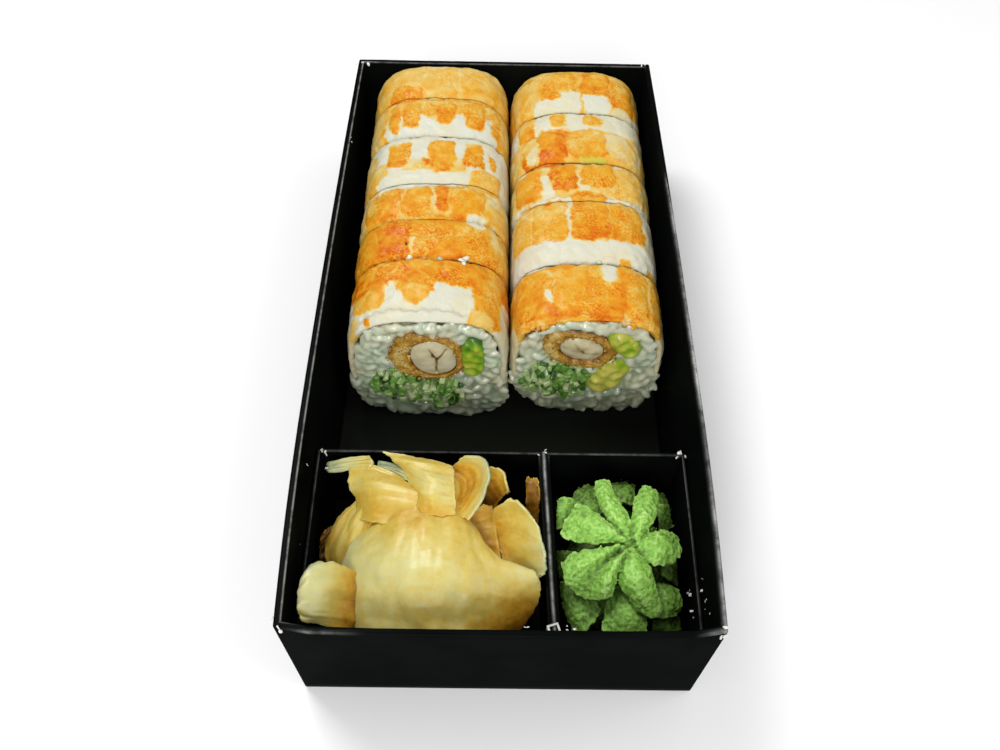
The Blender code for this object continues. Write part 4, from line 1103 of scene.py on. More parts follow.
def prawn_paint(side, u, y):
    """How orange, how red-lined and how green the prawn is at places on the sheet, and its relief in metres."""
    spots = np.stack((u, y, np.zeros(len(u))), axis=-1)
    seed = 11.0 if side == "left" else 47.0
    for reach_u, reach_y, scale, seed_u, seed_y in ((0.0013, 0.0011, 170.0, 0, 9), (0.0007, 0.0007, 430.0, 3, 12),
                                                    (0.0003, 0.0003, 1200.0, 5, 14), (0.0006, 0.0006, 760.0, 7, 8),
                                                    (0.0003, 0.0003, 1900.0, 17, 18)):
        u = u + reach_u * wave(spots, scale, seed + seed_u)
        y = y + reach_y * wave(spots, scale, seed + seed_y)
    broken = 0.20 + 1.2 * wave(spots, 330.0, seed + 20)
    soft = 0.0007 + 0.0022 * np.clip(wave(spots, 200.0, seed + 25) + 0.2, 0, 1)
    blotches = 0.34 * wave(spots, 230.0, seed + 50) + 0.24 * wave(spots, 620.0, seed + 55)
    veins = np.exp(-(wave(spots, 190.0, seed + 60) / 0.05) ** 2)
    veins = veins * np.clip(wave(spots, 120.0, seed + 65) * 2 + 0.4, 0, 1)
    orange, line, relief = np.zeros(len(u)), np.zeros(len(u)), np.zeros(len(u))
    for left, right, front, back, value, outlined, bulge in PATCHES[side]:
        half = (right - left) / 2000
        off = (u * 1000 - (left + right) / 2) / (right - left) * 2
        low = front / 1000 - bulge / 1000 * np.clip(1 - off * off, 0, 1)
        beside = np.abs(u - (left + right) / 2000) - half
        beyond = np.maximum(low - y, y - back / 1000)
        reach = np.maximum(beside, beyond) + 0.0006 * np.exp(-np.abs(beside - beyond) / 0.0008)
        cover = smooth_step(0.5 - reach / soft)
        along = np.clip((y - low) / max((back - front) / 1000, 0.001), 0, 1)
        rich = value * (1.18 - 0.38 * along + blotches)
        if value > 0.3:
            rich = rich + 0.20 * np.exp(-(reach / 0.0007) ** 2) * np.clip(0.6 + broken, 0, 1) - 0.20 * veins
        orange = orange * (1 - cover) + rich * cover
        line = line * (1 - 0.8 * cover)
        line = np.maximum(line, 0.8 * outlined * np.clip(broken, 0, 1) * np.exp(-(reach / 0.00030) ** 2))
        if right - left < 30 and value > 0.3:
            relief += 0.00014 * cover - 0.00006 * np.exp(-(reach / 0.0005) ** 2)
    orange = orange + 0.10 * np.clip(wave(spots, 150.0, seed + 70), 0, 1)
    for at, left, right, bulge, step, redness in LAPS[side]:
        off = np.clip((u * 1000 - (left + right) / 2) / (right - left) * 2, -1, 1)
        edge = at / 1000 - bulge / 1000 * off * off
        inside = smooth_step((u * 1000 - left) / 3 + 0.5) * smooth_step((right - u * 1000) / 3 + 0.5)
        ahead = edge - y
        relief -= inside * step * 1.3 * smooth_step(0.5 - ahead / 0.0005) * np.exp(-np.maximum(-ahead, 0) / 0.0035)
        relief -= inside * step * 1.0 * np.exp(-(ahead / 0.0007) ** 2)
        reddened = redness * inside * np.clip(broken + 0.3, 0, 1)
        line = np.maximum(line, reddened * np.exp(-((ahead - 0.0002) / 0.0003) ** 2))
    relief += 0.00034 * wave(spots, 210.0, seed + 33) + 0.00020 * wave(spots, 420.0, seed + 30)
    relief += 0.00008 * wave(spots, 1300.0, seed + 40)
    relief = np.where(relief > 0, 0.0011 * np.tanh(relief / 0.0011), relief)
    green = np.zeros(len(u))
    if side == "right":
        green = smooth_step(1 - np.maximum(np.abs(u - 0.0035) - 0.004, np.abs(y - 0.0518) - 0.0006) / 0.0012)
        green = green * np.clip(0.55 + 0.9 * wave(spots, 420.0, 3.0), 0, 1)
    return orange, line, green, relief


def prawn_material():
    """Moist cooked prawn: creamy white to orange and red by the painted patches, with a fine stipple."""
    material, tree, shader = shader_of("cooked prawn", (0.8, 0.5, 0.2), 0.36)
    paint = add_node(tree, "ShaderNodeAttribute", attribute_name="prawn_paint")
    parts = add_node(tree, "ShaderNodeSeparateColor")
    tree.links.new(paint.outputs["Color"], parts.inputs["Color"])
    stipple = map_range(tree, object_noise(tree, 1600.0, 2.0, 0.6), 0.35, 0.65, -0.22, 0.19)
    cloud = map_range(tree, object_noise(tree, 260.0, 5.0, 0.65), 0.3, 0.7, -0.24, 0.12)
    where = ramp(tree, object_noise(tree, 90.0, 2.0), 0.42, 0.60, (0.35, 0.35, 0.35), (1.7, 1.7, 1.7))
    both = calculate(tree, "ADD", mix(tree, 1.0, stipple, where, "MULTIPLY"), cloud)
    mottle = calculate(tree, "MULTIPLY_ADD", both, parts.outputs["Red"], parts.outputs["Red"])
    stops = ((0.0, (0.60, 0.60, 0.50)), (0.12, (0.63, 0.57, 0.36)), (0.28, (0.66, 0.47, 0.13)),
             (0.52, (0.67, 0.33, 0.020)), (0.80, (0.63, 0.20, 0.006)), (1.0, (0.56, 0.10, 0.003)))
    lined = mix(tree, parts.outputs["Green"], tones_along(tree, mottle, stops), (0.55, 0.085, 0.008))
    greened = mix(tree, parts.outputs["Blue"], lined, (0.42, 0.48, 0.05))
    tree.links.new(greened, shader.inputs["Base Color"])
    shader.inputs["Subsurface Weight"].default_value = 0.25
    shader.inputs["Subsurface Radius"].default_value = (1.0, 0.65, 0.35)
    shader.inputs["Subsurface Scale"].default_value = 0.0010
    shader.inputs["Specular IOR Level"].default_value = 0.10
    shader.inputs["Coat Weight"].default_value = 0.07
    shader.inputs["Coat Roughness"].default_value = 0.12
    before = bump(tree, shader, object_noise(tree, 1250.0, 2.0, 0.6), 0.30, 0.0003)
    bump(tree, shader, object_noise(tree, 380.0, 4.0), 0.25, 0.0006, before)
    return material


SHEET_THICKNESS = 0.0017
SHEET_SINK = 0.0001
END_DROOP, DROOP_REACH = 0.0011, 0.0016
ROW_STEP, SHEET_COLUMNS = 0.00038, 250
cooked_prawn_material = prawn_material()
for side, roll in ROLLS.items():
    start = -edge_angle(roll, PRAWN_EDGE_Z, 3)
    end = math.pi + edge_angle(roll, PRAWN_EDGE_Z, 2)
    fine = np.linspace(start, end, 6000)
    fine_x, fine_z = outline(roll, fine % (2 * math.pi), 0.0)
    run = np.concatenate(([0], np.cumsum(np.hypot(np.diff(fine_x), np.diff(fine_z)))))
    middle_run = run[np.argmin(np.abs(fine_x - roll["middle"]) + (fine_z < 0.03))]
    columns = np.linspace(0, run[-1], SHEET_COLUMNS)
    angles = np.interp(columns, run, fine) % (2 * math.pi)
    across = middle_run - columns
    for index in range(len(roll["seams"]) - 1):
        length = roll["seams"][index + 1] - roll["seams"][index]
        count = int(length / ROW_STEP)
        shares = (1 - np.cos(np.linspace(0, math.pi, count))) * 0.10 + np.linspace(0, 1, count) * 0.80
        rows = []
        grid_u = np.tile(across, count)
        x0, z0 = outline(roll, angles, 0.0)
        front = seam_y(roll, index, z0) + GAP / 2
        back = seam_y(roll, index + 1, z0) - GAP / 2
        y_rows = front + (back - front) * shares[:, None]
        orange, line, green, relief = prawn_paint(side, grid_u, y_rows.ravel())
        relief = relief.reshape(count, -1)
        for row, share in enumerate(shares):
            draw = END_DROOP * math.exp(-min(share, 1 - share) * length / DROOP_REACH)
            x, z = outline(roll, angles, SHEET_SINK + draw - relief[row])
            rows.append(np.stack((x, y_rows[row], z), axis=-1))
        sheet = grid_mesh(f"{side}_slice_{index + 1}_prawn_sheet", rows, closed=False)
        colors = np.stack((orange, line, green, np.ones(len(green))), axis=-1)
        layer = sheet.data.attributes.new("prawn_paint", "FLOAT_COLOR", "POINT")
        layer.data.foreach_set("color", colors.astype(np.float32).ravel())
        dress(sheet, cooked_prawn_material)
        skin = sheet.modifiers.new("thickness", "SOLIDIFY")
        skin.thickness, skin.offset = SHEET_THICKNESS, 1
        apply_modifiers(sheet)
        face_outwards(sheet)
        place(sheet, "cooked_prawn", f"{side}_slice_{index + 1}_prawn")


# Loose bits on the rolls
# A sticky lump of rice lies at the left row's first cut, and one dark speck on its second slice.

lump = grain_piece("loose_rice_lump", [grains_at([(-0.0118, 0.0078, 0.0448), (-0.0109, 0.0086, 0.0446),
                                                  (-0.0113, 0.0070, 0.0444)], [(0, 0.3, 1)] * 3, 0.55)],
                   rice_grain_material)
place(lump, None)
bpy.ops.mesh.primitive_ico_sphere_add(subdivisions=2, radius=0.00035)
speck = bpy.context.object
speck.name = "dark_speck"
speck.data.transform(Matrix.Translation((-0.0281, 0.0134, 0.0456)))
speck_material, speck_tree, speck_shader = shader_of("burnt crumb", (0.02, 0.012, 0.006), 0.6)
speck_tones = ramp(speck_tree, object_noise(speck_tree, 2000.0), 0.3, 0.7, (0.010, 0.006, 0.003), (0.04, 0.02, 0.008))
speck_tree.links.new(speck_tones, speck_shader.inputs["Base Color"])
speck.data.materials.append(speck_material)
place(speck, None)


# Pickled ginger
# Thin shaved slices of young ginger in brine, heaped and folded over one another in front of the divider. Each is
# a translucent sheet drawn through a few points, with a torn edge. Its folds look amber where slices lie double;
# their undersides are painted darker as shade and their pale tops lighter as painted highlight.

SLICE_THICKNESS = 0.0006
FOOD_CLEAR = 0.0010
HEAP_MIDDLE, HEAP_HALF = (-0.0175, -0.0735, 0.0165), (0.0225, 0.0195, 0.0160)
# How far each edge is torn, in mm. Then the rows of points across the slice: x, y and z in mm, and how amber it is,
# with painted shade and painted highlight in the same value.
GINGER_SHEETS = {
    "main": (0.5, (
        ((-30, -60, 29, 5), (-36, -71, 28, 3), (-39, -78, 27, 1), (-40, -85, 25, 2), (-39, -96, 22, 4)),
        ((-25, -59, 34, 6), (-28, -72, 36, 4), (-30, -80, 36, -1), (-31, -88, 35, 1), (-31, -99, 30, 2)),
        ((-18, -58, 36, 6), (-19, -72, 39, 6), (-20, -81, 39, -1), (-19, -89, 38, 2), (-19, -100, 33, 3)),
        ((-12, -60, 35, 7), (-12, -73, 38, 1), (-11, -81, 38, 3), (-10, -88, 37, 0), (-9, -99, 31, 3)),
        ((-8, -68, 33, 4), (-5, -76, 35, 3), (-1, -83, 34, 2), (0, -88, 33, 3), (-2, -97, 27, 8)),
        ((-5, -77, 31, 3), (3, -80, 31, 1), (13, -82, 35, 0), (10, -88, 28, 9), (3, -95, 21, 12)),
    )),
    "right_curl": (0.8, (
        ((-2, -65, 36, 5), (0, -66, 40, 4), (3, -66, 42, 3), (5, -68, 42, 2), (8, -70, 40, 1)),
        ((-2, -67, 32, 6), (0, -68, 34, 5), (3, -69, 36, 4), (7, -72, 38, 3), (10, -75, 40, 0)),
        ((-1, -72, 30, 7), (1, -73, 30, 6), (4, -74, 31, 4), (8, -76, 33, 3), (11, -79, 38, 0)),
        ((0, -77, 30, 6), (2, -78, 28, 5), (5, -79, 27, 4), (8, -81, 29, 3), (12, -82, 36, 0)),
        ((1, -79, 31, 4), (3, -81, 29, 4), (5, -82, 29, 3), (8, -83, 31, 1), (11, -83, 35, -1)),
    )),
    "curl_back": (0.8, (
        ((-10, -64, 33, 6), (-5, -64, 33, 5), (-2, -63, 34, 6)),
        ((-9, -71, 31, 7), (-5, -71, 30, 6), (-1, -71, 31, 6)),
        ((-6, -79, 31, 8), (-3, -79, 30, 7), (1, -80, 30, 6)),
    )),
    "cup": (0.4, (
        ((-11, -52, 38, 2), (-4, -54, 42, 0), (-2, -60, 43, -1), (-5, -69, 42, -1), (-9, -72, 38, 1)),
        ((-12, -53, 35, 6), (-7, -55, 37, 5), (-5, -59, 38, 6), (-7, -65, 38, 6), (-10, -69, 36, 6)),
        ((-14, -54, 33, 8), (-10, -56, 33, 8), (-9, -59, 33, 8), (-10, -63, 34, 8), (-12, -66, 35, 7)),
        ((-16, -55, 37, 3), (-14, -58, 38, 2), (-12, -60, 39, 1), (-12, -64, 39, 2), (-13, -68, 39, 3)),
    )),
    "spike": (0.7, (
        ((-33, -48, 35, 2), (-25, -51, 36, 3), (-17, -53, 38, 4), (-11, -55, 38, 3)),
        ((-28, -52, 35, 3), (-22, -56, 39, 3), (-17, -59, 41, 2), (-12, -58, 38, 3)),
        ((-22, -58, 35, 5), (-20, -62, 39, 2), (-16, -64, 41, 0), (-11, -64, 39, 2)),
        ((-22, -67, 35, 6), (-19, -69, 38, 6), (-15, -70, 38, 7), (-10, -70, 37, 5)),
    )),
    "back_left": (0.8, (
        ((-41, -52, 31, 3), (-36, -51, 33, 3), (-31, -54, 34, 4), (-25, -57, 34, 5)),
        ((-39, -56, 30, 3), (-34, -57, 35, 3), (-28, -58, 36, 3), (-20, -61, 37, 4)),
        ((-38, -61, 29, 4), (-33, -62, 35, 3), (-26, -64, 37, 3), (-17, -66, 38, 4)),
        ((-37, -67, 27, 5), (-32, -69, 33, 5), (-25, -71, 35, 5), (-16, -72, 36, 6)),
    )),
    "thin_tip": (0.4, (
        ((-47, -50, 29, -2), (-43, -50, 31, -2), (-39, -50, 32, 0), (-33, -50, 34, 3)),
        ((-46, -53, 29, -2), (-42, -53, 30, -1), (-38, -53, 31, 2), (-33, -55, 34, 4)),
    )),
    "left_ragged": (1.5, (
        ((-35, -58, 28, 5), (-42, -63, 26, 4), (-43, -68, 25, 5), (-45, -72, 24, 5), (-44, -76, 23, 6)),
        ((-33, -62, 31, 4), (-37, -66, 30, 1), (-38, -70, 29, 2), (-39, -74, 28, 3), (-40, -78, 26, 5)),
        ((-29, -64, 32, 5), (-32, -69, 31, 6), (-34, -73, 29, 6), (-36, -77, 27, 7), (-37, -81, 25, 7)),
    )),
    "front_left": (0.7, (
        ((-47, -86, 38, 0), (-45, -81, 38, -2), (-42, -81, 37, 0), (-38, -80, 34, 4), (-34, -80, 30, 8)),
        ((-47, -90, 39, 0), (-45, -88, 40, -1), (-41, -88, 39, 0), (-37, -86, 35, 5), (-33, -86, 30, 9)),
        ((-47, -94, 39, 1), (-44, -94, 39, 0), (-41, -93, 38, 2), (-37, -91, 33, 6), (-33, -91, 28, 9)),
        ((-46, -98, 37, 3), (-43, -100, 36, 1), (-40, -99, 34, 3), (-37, -97, 30, 7), (-33, -97, 24, 9)),
    )),
    "brown_bit": (1.3, (
        ((6, -54, 31, 8), (9, -54, 31, 8), (12, -56, 31, 8)),
        ((7, -59, 27, 9), (9, -59, 28, 9), (11, -61, 28, 9)),
        ((6, -64, 22, 10), (8, -65, 22, 10), (11, -67, 23, 10)),
        ((1, -70, 17, 10), (4, -71, 17, 10), (8, -71, 18, 10)),
    )),
    "behind_cup": (0.5, (
        ((-4, -52, 34, 4), (1, -55, 36, 3), (3, -62, 35, 4)),
        ((-4, -56, 31, 9), (-2, -57, 31, 9), (0, -60, 31, 9)),
        ((-7, -60, 26, 10), (-5, -62, 26, 10), (-3, -64, 26, 10)),
    )),
    "brown_sliver": (0.8, (
        ((-47, -69, 24, 9), (-45, -66, 25, 9), (-41, -65, 25, 8)),
        ((-47, -75, 20, 10), (-44, -74, 21, 10), (-40, -72, 23, 10)),
    )),
    "pale_wisp": (0.7, (
        ((-33, -50, 31, -4), (-30, -51, 32, -4), (-26, -53, 33, -2), (-23, -56, 35, 2)),
        ((-32, -54, 32, -3), (-28, -55, 33, -2), (-25, -57, 34, 1), (-22, -60, 36, 3)),
    )),
}


def spline_weights(count, places):
    """Weights that turn a row of points into a smooth curve at places from 0 to 1, with its ends on the last ones."""
    spot = np.clip(places, 0, 1) * (count - 1)
    first = np.minimum(spot.astype(int), count - 2)
    f = spot - first
    parts = ((1 - f) ** 3, 3 * f ** 3 - 6 * f ** 2 + 4, -3 * f ** 3 + 3 * f ** 2 + 3 * f + 1, f ** 3)
    weights = np.zeros((count + 2, len(f)))
    for offset, part in enumerate(parts):
        weights[first + offset, np.arange(len(f))] += part / 6
    weights[1] += 2 * weights[0]
    weights[2] -= weights[0]
    weights[-2] += 2 * weights[-1]
    weights[-3] -= weights[-1]
    return weights[1:-1]


def hold_between(value, low, high, give=0.0012):
    """Press coordinates smoothly back from two limits, as soft food is pressed by a wall."""
    value = np.where(value > high - give, high - give * np.exp(-np.maximum(value - high + give, 0) / give), value)
    return np.where(value < low + give, low + give * np.exp(-np.maximum(low + give - value, 0) / give), value)


def press_into_compartment(points, side):
    """Keep points of the food between the divider, the side wall, the ends and the floor."""
    x, y, z = points[..., 0], points[..., 1], points[..., 2]
    wall = HALF_WIDTH - WALL - FOOD_CLEAR + side_bow(y, np.minimum(z, INSERT_TOP))
    wall = wall - np.where(z < INSERT_TOP + FOOD_CLEAR, 0.0010, 0.0)
    fold = divider_x(y) + side * (0.0007 + FOOD_CLEAR)
    x = hold_between(x, -wall, fold) if side < 0 else hold_between(x, fold, wall)
    y = hold_between(y, -0.0972 + FOOD_CLEAR, -0.0478 - FOOD_CLEAR)
    z = hold_between(z, 0.0020 + FOOD_CLEAR, 0.045)
    return np.stack((x, y, z), axis=-1)


def sheet_net(rows, torn, across, along, seed, rounding=0.22, side=-1):
    """A fine grid on the smooth sheet through a net of points, with its corners rounded and its edge torn."""
    net = np.array(rows, dtype=float)
    net[..., :3] = press_into_compartment(net[..., :3] / 1000, side)
    v, u = np.meshgrid(np.linspace(-1, 1, across), np.linspace(-1, 1, along), indexing="ij")
    rim = np.maximum(np.abs(u), np.abs(v))
    size = 0.5 * np.linalg.norm(net[0, 0, :3] - net[-1, -1, :3])
    spots = np.stack((u, v, np.full(u.shape, seed)), axis=-1).reshape(-1, 3)
    spots[:, :2] /= np.maximum(rim.reshape(-1, 1), 0.05)
    reach = size * 1000 / 6
    tear = wave(spots, 1.4 * reach, 0.0) + 0.6 * wave(spots, 3.5 * reach, 9.0) + 0.35 * wave(spots, 8.0 * reach, 5.0)
    tear = 1 - torn / 1000 / size * (0.5 + tear.reshape(u.shape)) * rim ** 8
    round_u, round_v = u * np.sqrt(1 - rounding * v * v) * tear, v * np.sqrt(1 - rounding * u * u) * tear
    rows_at = spline_weights(net.shape[0], (round_v.ravel() + 1) / 2)
    columns_at = spline_weights(net.shape[1], (round_u.ravel() + 1) / 2)
    grid = np.einsum("in,jn,ijk->nk", rows_at, columns_at, net).reshape(*u.shape, net.shape[2])
    lines = np.stack((u * 0.5, v * 3.5, np.full(u.shape, seed)), axis=-1).reshape(-1, 3)
    streak = wave(lines, 1.0, 3.0) + 0.5 * wave(lines * (2.0, 3.6, 1), 1.0, 5.0)
    return grid, rim, streak, wave(lines * (0.8, 0.45, 1), 1.0, 7.0)


def ginger_material():
    """Wet ginger flesh, from pale straw to amber brown where slices lie double, its darkest tones also painted shade.
    """
    tones = ((0.0, (0.36, 0.42, 0.25)), (0.12, (0.54, 0.55, 0.28)), (0.26, (0.62, 0.56, 0.21)),
             (0.46, (0.62, 0.46, 0.085)), (0.64, (0.57, 0.31, 0.020)), (0.80, (0.34, 0.15, 0.006)),
             (1.0, (0.10, 0.036, 0.003)))
    material = soft_food("pickled ginger", tones, "amber", 0.40, 0.5, 0.0014, 0.14)
    material.node_tree.nodes["Principled BSDF"].inputs["Subsurface Radius"].default_value = (1.0, 0.7, 0.2)
    return material


ginger_flesh = ginger_material()
for number, (name, (torn, rows)) in enumerate(GINGER_SHEETS.items()):
    longest = max(np.linalg.norm(np.subtract(rows[0][0][:3], rows[-1][0][:3])),
                  np.linalg.norm(np.subtract(rows[0][0][:3], rows[0][-1][:3])))
    steps = int(np.clip(longest * 2.6, 26, 96))
    grid, rim, streak, crease = sheet_net(rows, torn, steps, steps, number * 3.7, 0.08 if name == "main" else 0.22)
    spots = grid[..., :3]
    slope_v, slope_u = np.gradient(spots, axis=0), np.gradient(spots, axis=1)
    normal = np.cross(slope_u, slope_v)
    normal /= np.maximum(np.linalg.norm(normal, axis=-1, keepdims=True), 1e-12)
    flat = spots.reshape(-1, 3)
    crinkle = 0.00035 * wave(flat, 130.0, number) + 0.00012 * wave(flat, 420.0, number)
    crinkle = crinkle + 0.00004 * wave(flat, 1300.0, 2.0)
    frill = 0.0008 * wave(flat, 260.0, number + 30) * (rim.ravel() ** 6)
    if name == "main":
        crinkle = crinkle + 0.0009 * np.abs(wave(flat * (1.0, 0.45, 0.3), 150.0, 4.0))
        crinkle = crinkle + 0.0003 * wave(flat * (0.4, 1, 1), 260.0, 6.0)
    raised = crinkle + frill + 0.00022 * streak + 0.0013 * np.abs(crease) - 0.0002
    spots = spots + normal * raised.reshape(rim.shape)[..., None]
    sheet = grid_mesh(f"ginger_{name}", spots, closed=False)
    # The net's tones paint the amber of doubled slices together with painted shade on the undersides and painted
    # highlight on the pale tops.
    amber = 0.22 + grid[..., 3].ravel() / 14 + 0.06 * streak + 0.07 * crease + 0.03 * wave(flat, 300.0, 40.0)
    amber -= 0.14 * rim.ravel() ** 18
    paint_points(sheet, "amber", np.clip(amber, 0, 1))
    dress(sheet, ginger_flesh)
    skin = sheet.modifiers.new("thickness", "SOLIDIFY")
    skin.thickness, skin.offset = SLICE_THICKNESS, 0
    apply_modifiers(sheet)
    face_outwards(sheet)
    place(sheet, "pickled_ginger", "pickled_ginger")

# Painted shade: the heap under the slices is dark brown, partly the deeper colour of slices lying many deep, partly
# the shade beneath them.
bpy.ops.mesh.primitive_ico_sphere_add(subdivisions=5, radius=1)
heap = bpy.context.object
heap.name = "ginger_heap"
spots = corner_array(heap)
folds = 1 + 0.12 * wave(spots * (1, 1, 2), 1.6, 3.0) + 0.06 * np.abs(wave(spots, 5.0, 8.0))
spots = np.array(HEAP_MIDDLE) + spots * folds[:, None] * HEAP_HALF
spots = press_into_compartment(spots, -1)
heap.data.vertices.foreach_set("co", spots.ravel())
paint_points(heap, "amber", np.clip(0.90 + 0.10 * wave(spots, 250.0, 2.0), 0, 1))
dress(heap, ginger_flesh)
place(heap, "pickled_ginger", "pickled_ginger")


# Wasabi
# Green paste piped as a small flower with petals in two tiers. It is dense and grainy, its petals have grooves
# from the nozzle and crumbling edges, and the lower ones are pressed against the lining.

FLOWER_MIDDLE = (0.0318, -0.0725)
# Rows of points across each petal, from the flower's middle outwards: x, y and z in mm
PETALS = {
    "back_upper_left": (((32, -71, 29), (27, -68, 31), (25, -61, 30), (24, -56, 29)),
                        ((32, -71, 31), (29, -68, 35), (27, -62, 34), (26, -54, 30)),
                        ((33, -70, 29), (33, -66, 32), (30, -61, 31), (29, -55, 29))),
    "back_upper_right": (((33, -71, 29), (33, -66, 31), (34, -60, 30), (37, -55, 29)),
                         ((34, -71, 31), (35, -68, 35), (37, -64, 34), (39, -58, 31)),
                         ((35, -71, 29), (38, -68, 31), (40, -64, 30), (41, -58, 29))),
    "right_upper": (((34, -72, 29), (38, -69, 31), (42, -68, 30), (45, -70, 28)),
                    ((35, -73, 31), (38, -73, 33), (41, -73, 33), (46, -73, 28)),
                    ((34, -74, 29), (36, -77, 31), (39, -79, 30), (43, -77, 28))),
    "front_upper_right": (((32, -74, 29), (29, -79, 31), (29, -84, 30), (34, -89, 27)),
                          ((33, -74, 31), (32, -81, 36), (33, -86, 34), (36, -91, 28)),
                          ((34, -74, 29), (37, -79, 31), (38, -84, 30), (40, -89, 27))),
    "front_upper_left": (((31, -73, 31), (23, -75, 33), (18, -76, 33), (15, -77, 30)),
                         ((31, -73, 31), (23, -79, 36), (18, -82, 36), (15, -84, 31)),
                         ((31, -74, 29), (25, -78, 31), (22, -82, 30), (21, -86, 27)),
                         ((31, -74, 31), (27, -80, 37), (25, -85, 36), (24, -88, 31)),
                         ((32, -74, 30), (29, -78, 32), (28, -82, 31), (28, -85, 28))),
    "left_upper": (((31, -71, 30), (28, -69, 33), (24, -65, 33), (20, -62, 31)),
                   ((31, -72, 31), (26, -71, 36), (21, -69, 36), (17, -66, 32)),
                   ((31, -72, 30), (25, -73, 32), (21, -74, 31), (14, -71, 30))),
    "left_back": (((21, -60, 24), (17, -57, 27), (14, -59, 26)), ((20, -61, 25), (17, -62, 29), (14, -63, 27)),
                  ((19, -66, 24), (16, -66, 25), (14, -66, 24))),
    "back_left": (((19, -56, 21), (20, -52, 21), (26, -51, 20)), ((21, -59, 24), (23, -57, 25), (26, -56, 23)),
                  ((24, -62, 23), (26, -62, 24), (28, -61, 23))),
    "back": (((29, -56, 22), (29, -51, 21), (31, -49, 19)), ((33, -58, 24), (33, -54, 25), (34, -49, 20)),
             ((36, -58, 22), (36, -54, 22), (37, -50, 19))),
    "back_right": (((41, -57, 21), (42, -53, 21), (45, -52, 18)), ((42, -62, 23), (43, -59, 24), (46, -57, 19)),
                   ((41, -66, 22), (44, -65, 22), (47, -63, 19))),
    "right_lower": (((41, -68, 21), (45, -65, 21), (48, -64, 18)), ((41, -72, 23), (45, -71, 23), (48, -71, 18)),
                    ((41, -77, 21), (44, -78, 21), (47, -79, 18))),
    "front_right": (((37, -80, 23), (41, -80, 25), (45, -82, 23)), ((37, -84, 25), (40, -85, 28), (45, -86, 24)),
                    ((37, -89, 23), (40, -90, 25), (44, -88, 22))),
    "front_corner": (((38, -87, 19), (42, -87, 21), (45, -87, 19)), ((38, -90, 21), (41, -91, 24), (45, -90, 20)),
                     ((38, -94, 18), (42, -94, 19), (45, -93, 17))),
    "front_lower": (((27, -82, 24), (26, -88, 26), (24, -93, 24)), ((31, -82, 26), (30, -89, 30), (30, -95, 25)),
                    ((35, -83, 24), (35, -90, 27), (36, -95, 23))),
    "front_left": (((22, -81, 23), (18, -81, 26), (14, -79, 22)), ((23, -84, 25), (18, -88, 28), (15, -87, 23)),
                   ((25, -87, 23), (22, -92, 25), (18, -93, 22))),
    "left_lower": (((22, -72, 22), (18, -71, 23), (14, -70, 20)), ((22, -75, 23), (17, -75, 25), (14, -75, 20)),
                   ((22, -79, 22), (18, -79, 23), (14, -78, 20))),
}


def petal_mesh(name, rows, seed):
    """A leaf of paste through a net of points: thick along its middle, thin and torn at its edge."""
    wide = np.array(rows, dtype=float)
    wide[..., :2] += (wide[..., :2] - wide[..., :2].mean(axis=(0, 1))) * 0.15
    grid, rim, _, _ = sheet_net(wide, 0.9, 44, 44, seed, 0.20, 1)
    slope = np.cross(np.gradient(grid, axis=1), np.gradient(grid, axis=0))
    slope *= np.sign(slope[..., 2:].mean())
    slope /= np.maximum(np.linalg.norm(slope, axis=-1, keepdims=True), 1e-12)
    under = grid - slope * (0.0007 + 0.0024 * (1 - rim ** 3))[..., None]
    count = grid.shape[0]
    index = np.arange(count * count).reshape(count, count)
    quads = np.stack((index[:-1, :-1], index[:-1, 1:], index[1:, 1:], index[1:, :-1]), axis=-1).reshape(-1, 4)
    border = np.concatenate((index[0, :-1], index[:-1, -1], index[-1, :0:-1], index[:0:-1, 0]))
    after = np.roll(border, -1)
    sides = np.stack((border, border + count * count, after + count * count, after), axis=-1)
    mesh = bpy.data.meshes.new(name)
    mesh.from_pydata(np.concatenate((grid.reshape(-1, 3), under.reshape(-1, 3))).tolist(), [],
                     quads.tolist() + (quads[:, ::-1] + count * count).tolist() + sides.tolist())
    leaf = bpy.data.objects.new(name, mesh)
    bpy.context.collection.objects.link(leaf)
    face_outwards(leaf)
    return leaf


petals = [petal_mesh(name, rows, number * 2.3) for number, (name, rows) in enumerate(PETALS.items())]
bpy.ops.mesh.primitive_ico_sphere_add(subdivisions=4, radius=1)
flower = bpy.context.object
spots = corner_array(flower) * (0.0085, 0.0085, 0.0150) + (*FLOWER_MIDDLE, 0.0150)
flower.data.vertices.foreach_set("co", press_into_compartment(spots, 1).ravel())
bpy.ops.mesh.primitive_ico_sphere_add(subdivisions=4, radius=1)
mound = bpy.context.object
spots = corner_array(mound) * (0.0145, 0.0180, 0.0100) + (*FLOWER_MIDDLE, 0.0120)
mound.data.vertices.foreach_set("co", press_into_compartment(spots, 1).ravel())
select_only(flower, mound, *petals)
bpy.ops.object.join()
flower.name = "wasabi_flower"
fused = flower.modifiers.new("fused", "REMESH")
fused.mode, fused.voxel_size = "VOXEL", 0.00031
apply_modifiers(flower)
spots = corner_array(flower)
normals = np.empty(len(spots) * 3)
flower.data.vertices.foreach_get("normal", normals)
lumps = 0.00030 * wave(spots, 330.0, 1.0) + 0.00028 * wave(spots, 900.0, 4.0) + 0.00024 * wave(spots, 2100.0, 3.0)
spots = spots + normals.reshape(-1, 3) * (lumps - 0.0001)[:, None]
flower.data.vertices.foreach_set("co", press_into_compartment(spots, 1).ravel())
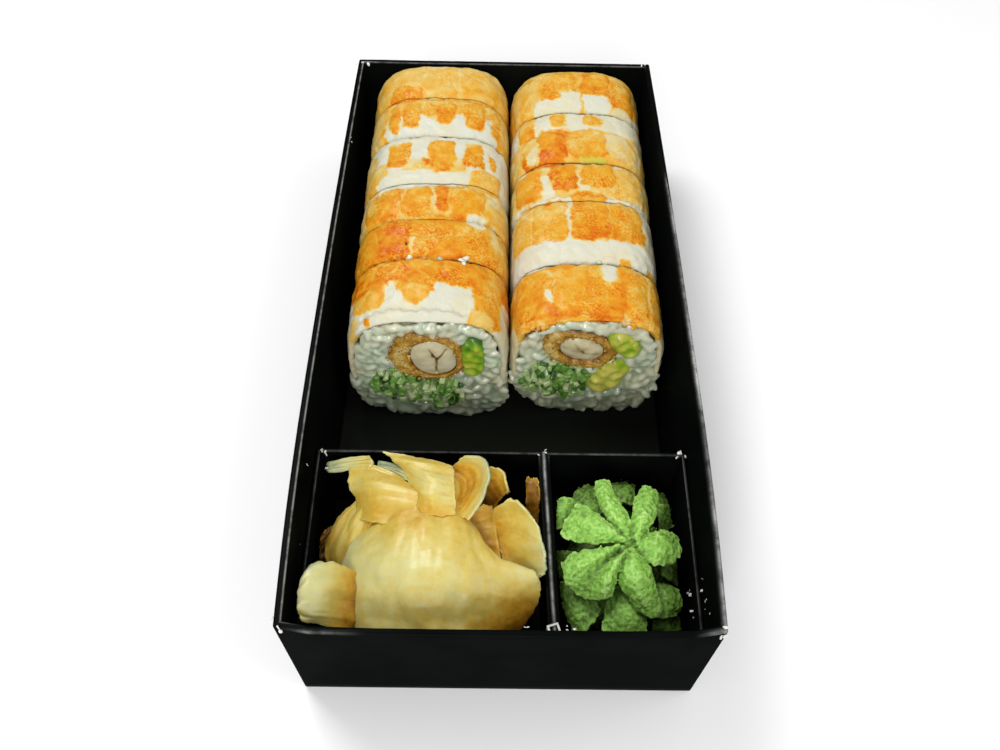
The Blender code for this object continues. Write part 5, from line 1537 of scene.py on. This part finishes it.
# Painted light and shade: the paste is darker low down and in its hollows, lighter on its ridges and edges.
fresh = np.clip((spots[:, 2] - 0.019) / 0.010, 0, 1)
raised = np.clip(ridge_height(flower, 11) / 0.0005, -1, 1)
tone = 0.14 + 0.42 * fresh + 0.55 * raised + 0.12 * wave(spots, 200.0, 7.0)
paint_points(flower, "paste_tone", np.clip(tone, 0, 1))
wasabi_paste = soft_food("wasabi paste", ((0.0, (0.035, 0.052, 0.008)), (0.3, (0.11, 0.22, 0.026)),
                                          (0.62, (0.25, 0.52, 0.070)), (1.0, (0.50, 0.76, 0.24))),
                         "paste_tone", 0.62, 0.2, 0.0008, 0.0)
flower.data.materials.clear()
dress(flower, wasabi_paste)
place(flower, "wasabi", "wasabi")


# Floor, light and camera
# A pale floor under a white studio, three soft lights, and the camera as it was solved from the tray's rim.

bpy.ops.mesh.primitive_plane_add(size=6, location=(0, 0, 0))
floor = bpy.context.object
floor.name = "studio_floor"
floor_material, _, _ = shader_of("studio floor", (0.9, 0.9, 0.9), 0.9)
floor.data.materials.append(floor_material)

world = bpy.data.worlds.new("studio")
world.use_nodes = True
world.node_tree.nodes["Background"].inputs["Color"].default_value = (1.0, 1.0, 1.0, 1)
world.node_tree.nodes["Background"].inputs["Strength"].default_value = 0.42
bpy.context.scene.view_settings.view_transform = "Standard"
bpy.context.scene.world = world


def soft_light(name, location, aim, size, energy):
    """A square soft box that looks at a place on the tray."""
    bpy.ops.object.light_add(type="AREA", location=location)
    lamp = bpy.context.object
    lamp.name = name
    lamp.data.size, lamp.data.energy = size, energy
    lamp.rotation_euler = (Vector(aim) - Vector(location)).to_track_quat("-Z", "Y").to_euler()


soft_light("key_light", (-0.30, 0.30, 0.70), (0, 0, 0.03), 0.35, 3.4)
soft_light("fill_light", (0.50, -0.10, 0.55), (0, 0, 0.03), 0.5, 1.4)
soft_light("front_light", (-0.10, -0.75, 0.50), (0, -0.02, 0.03), 0.4, 4.6)

# The camera's turns in radians
pitch, yaw, roll_turn = 0.961014, 0.0152943, 0.0265842
forward = Vector((math.sin(yaw) * math.cos(pitch), math.cos(yaw) * math.cos(pitch), -math.sin(pitch)))
level = forward.cross(Vector((0, 0, 1))).normalized()
upward = level.cross(forward)
right = math.cos(roll_turn) * level + math.sin(roll_turn) * upward
above = -math.sin(roll_turn) * level + math.cos(roll_turn) * upward
eye = Vector((-0.002744, -0.168294 + MIDDLE_SHIFT, 0.240040))
bpy.ops.object.camera_add()
camera = bpy.context.object
camera.data.sensor_width = 36
camera.data.lens = 32.764
camera.data.clip_start = 0.01
camera.matrix_world = Matrix(((right.x, above.x, -forward.x, eye.x), (right.y, above.y, -forward.y, eye.y),
                              (right.z, above.z, -forward.z, eye.z), (0, 0, 0, 1)))
bpy.context.scene.camera = camera
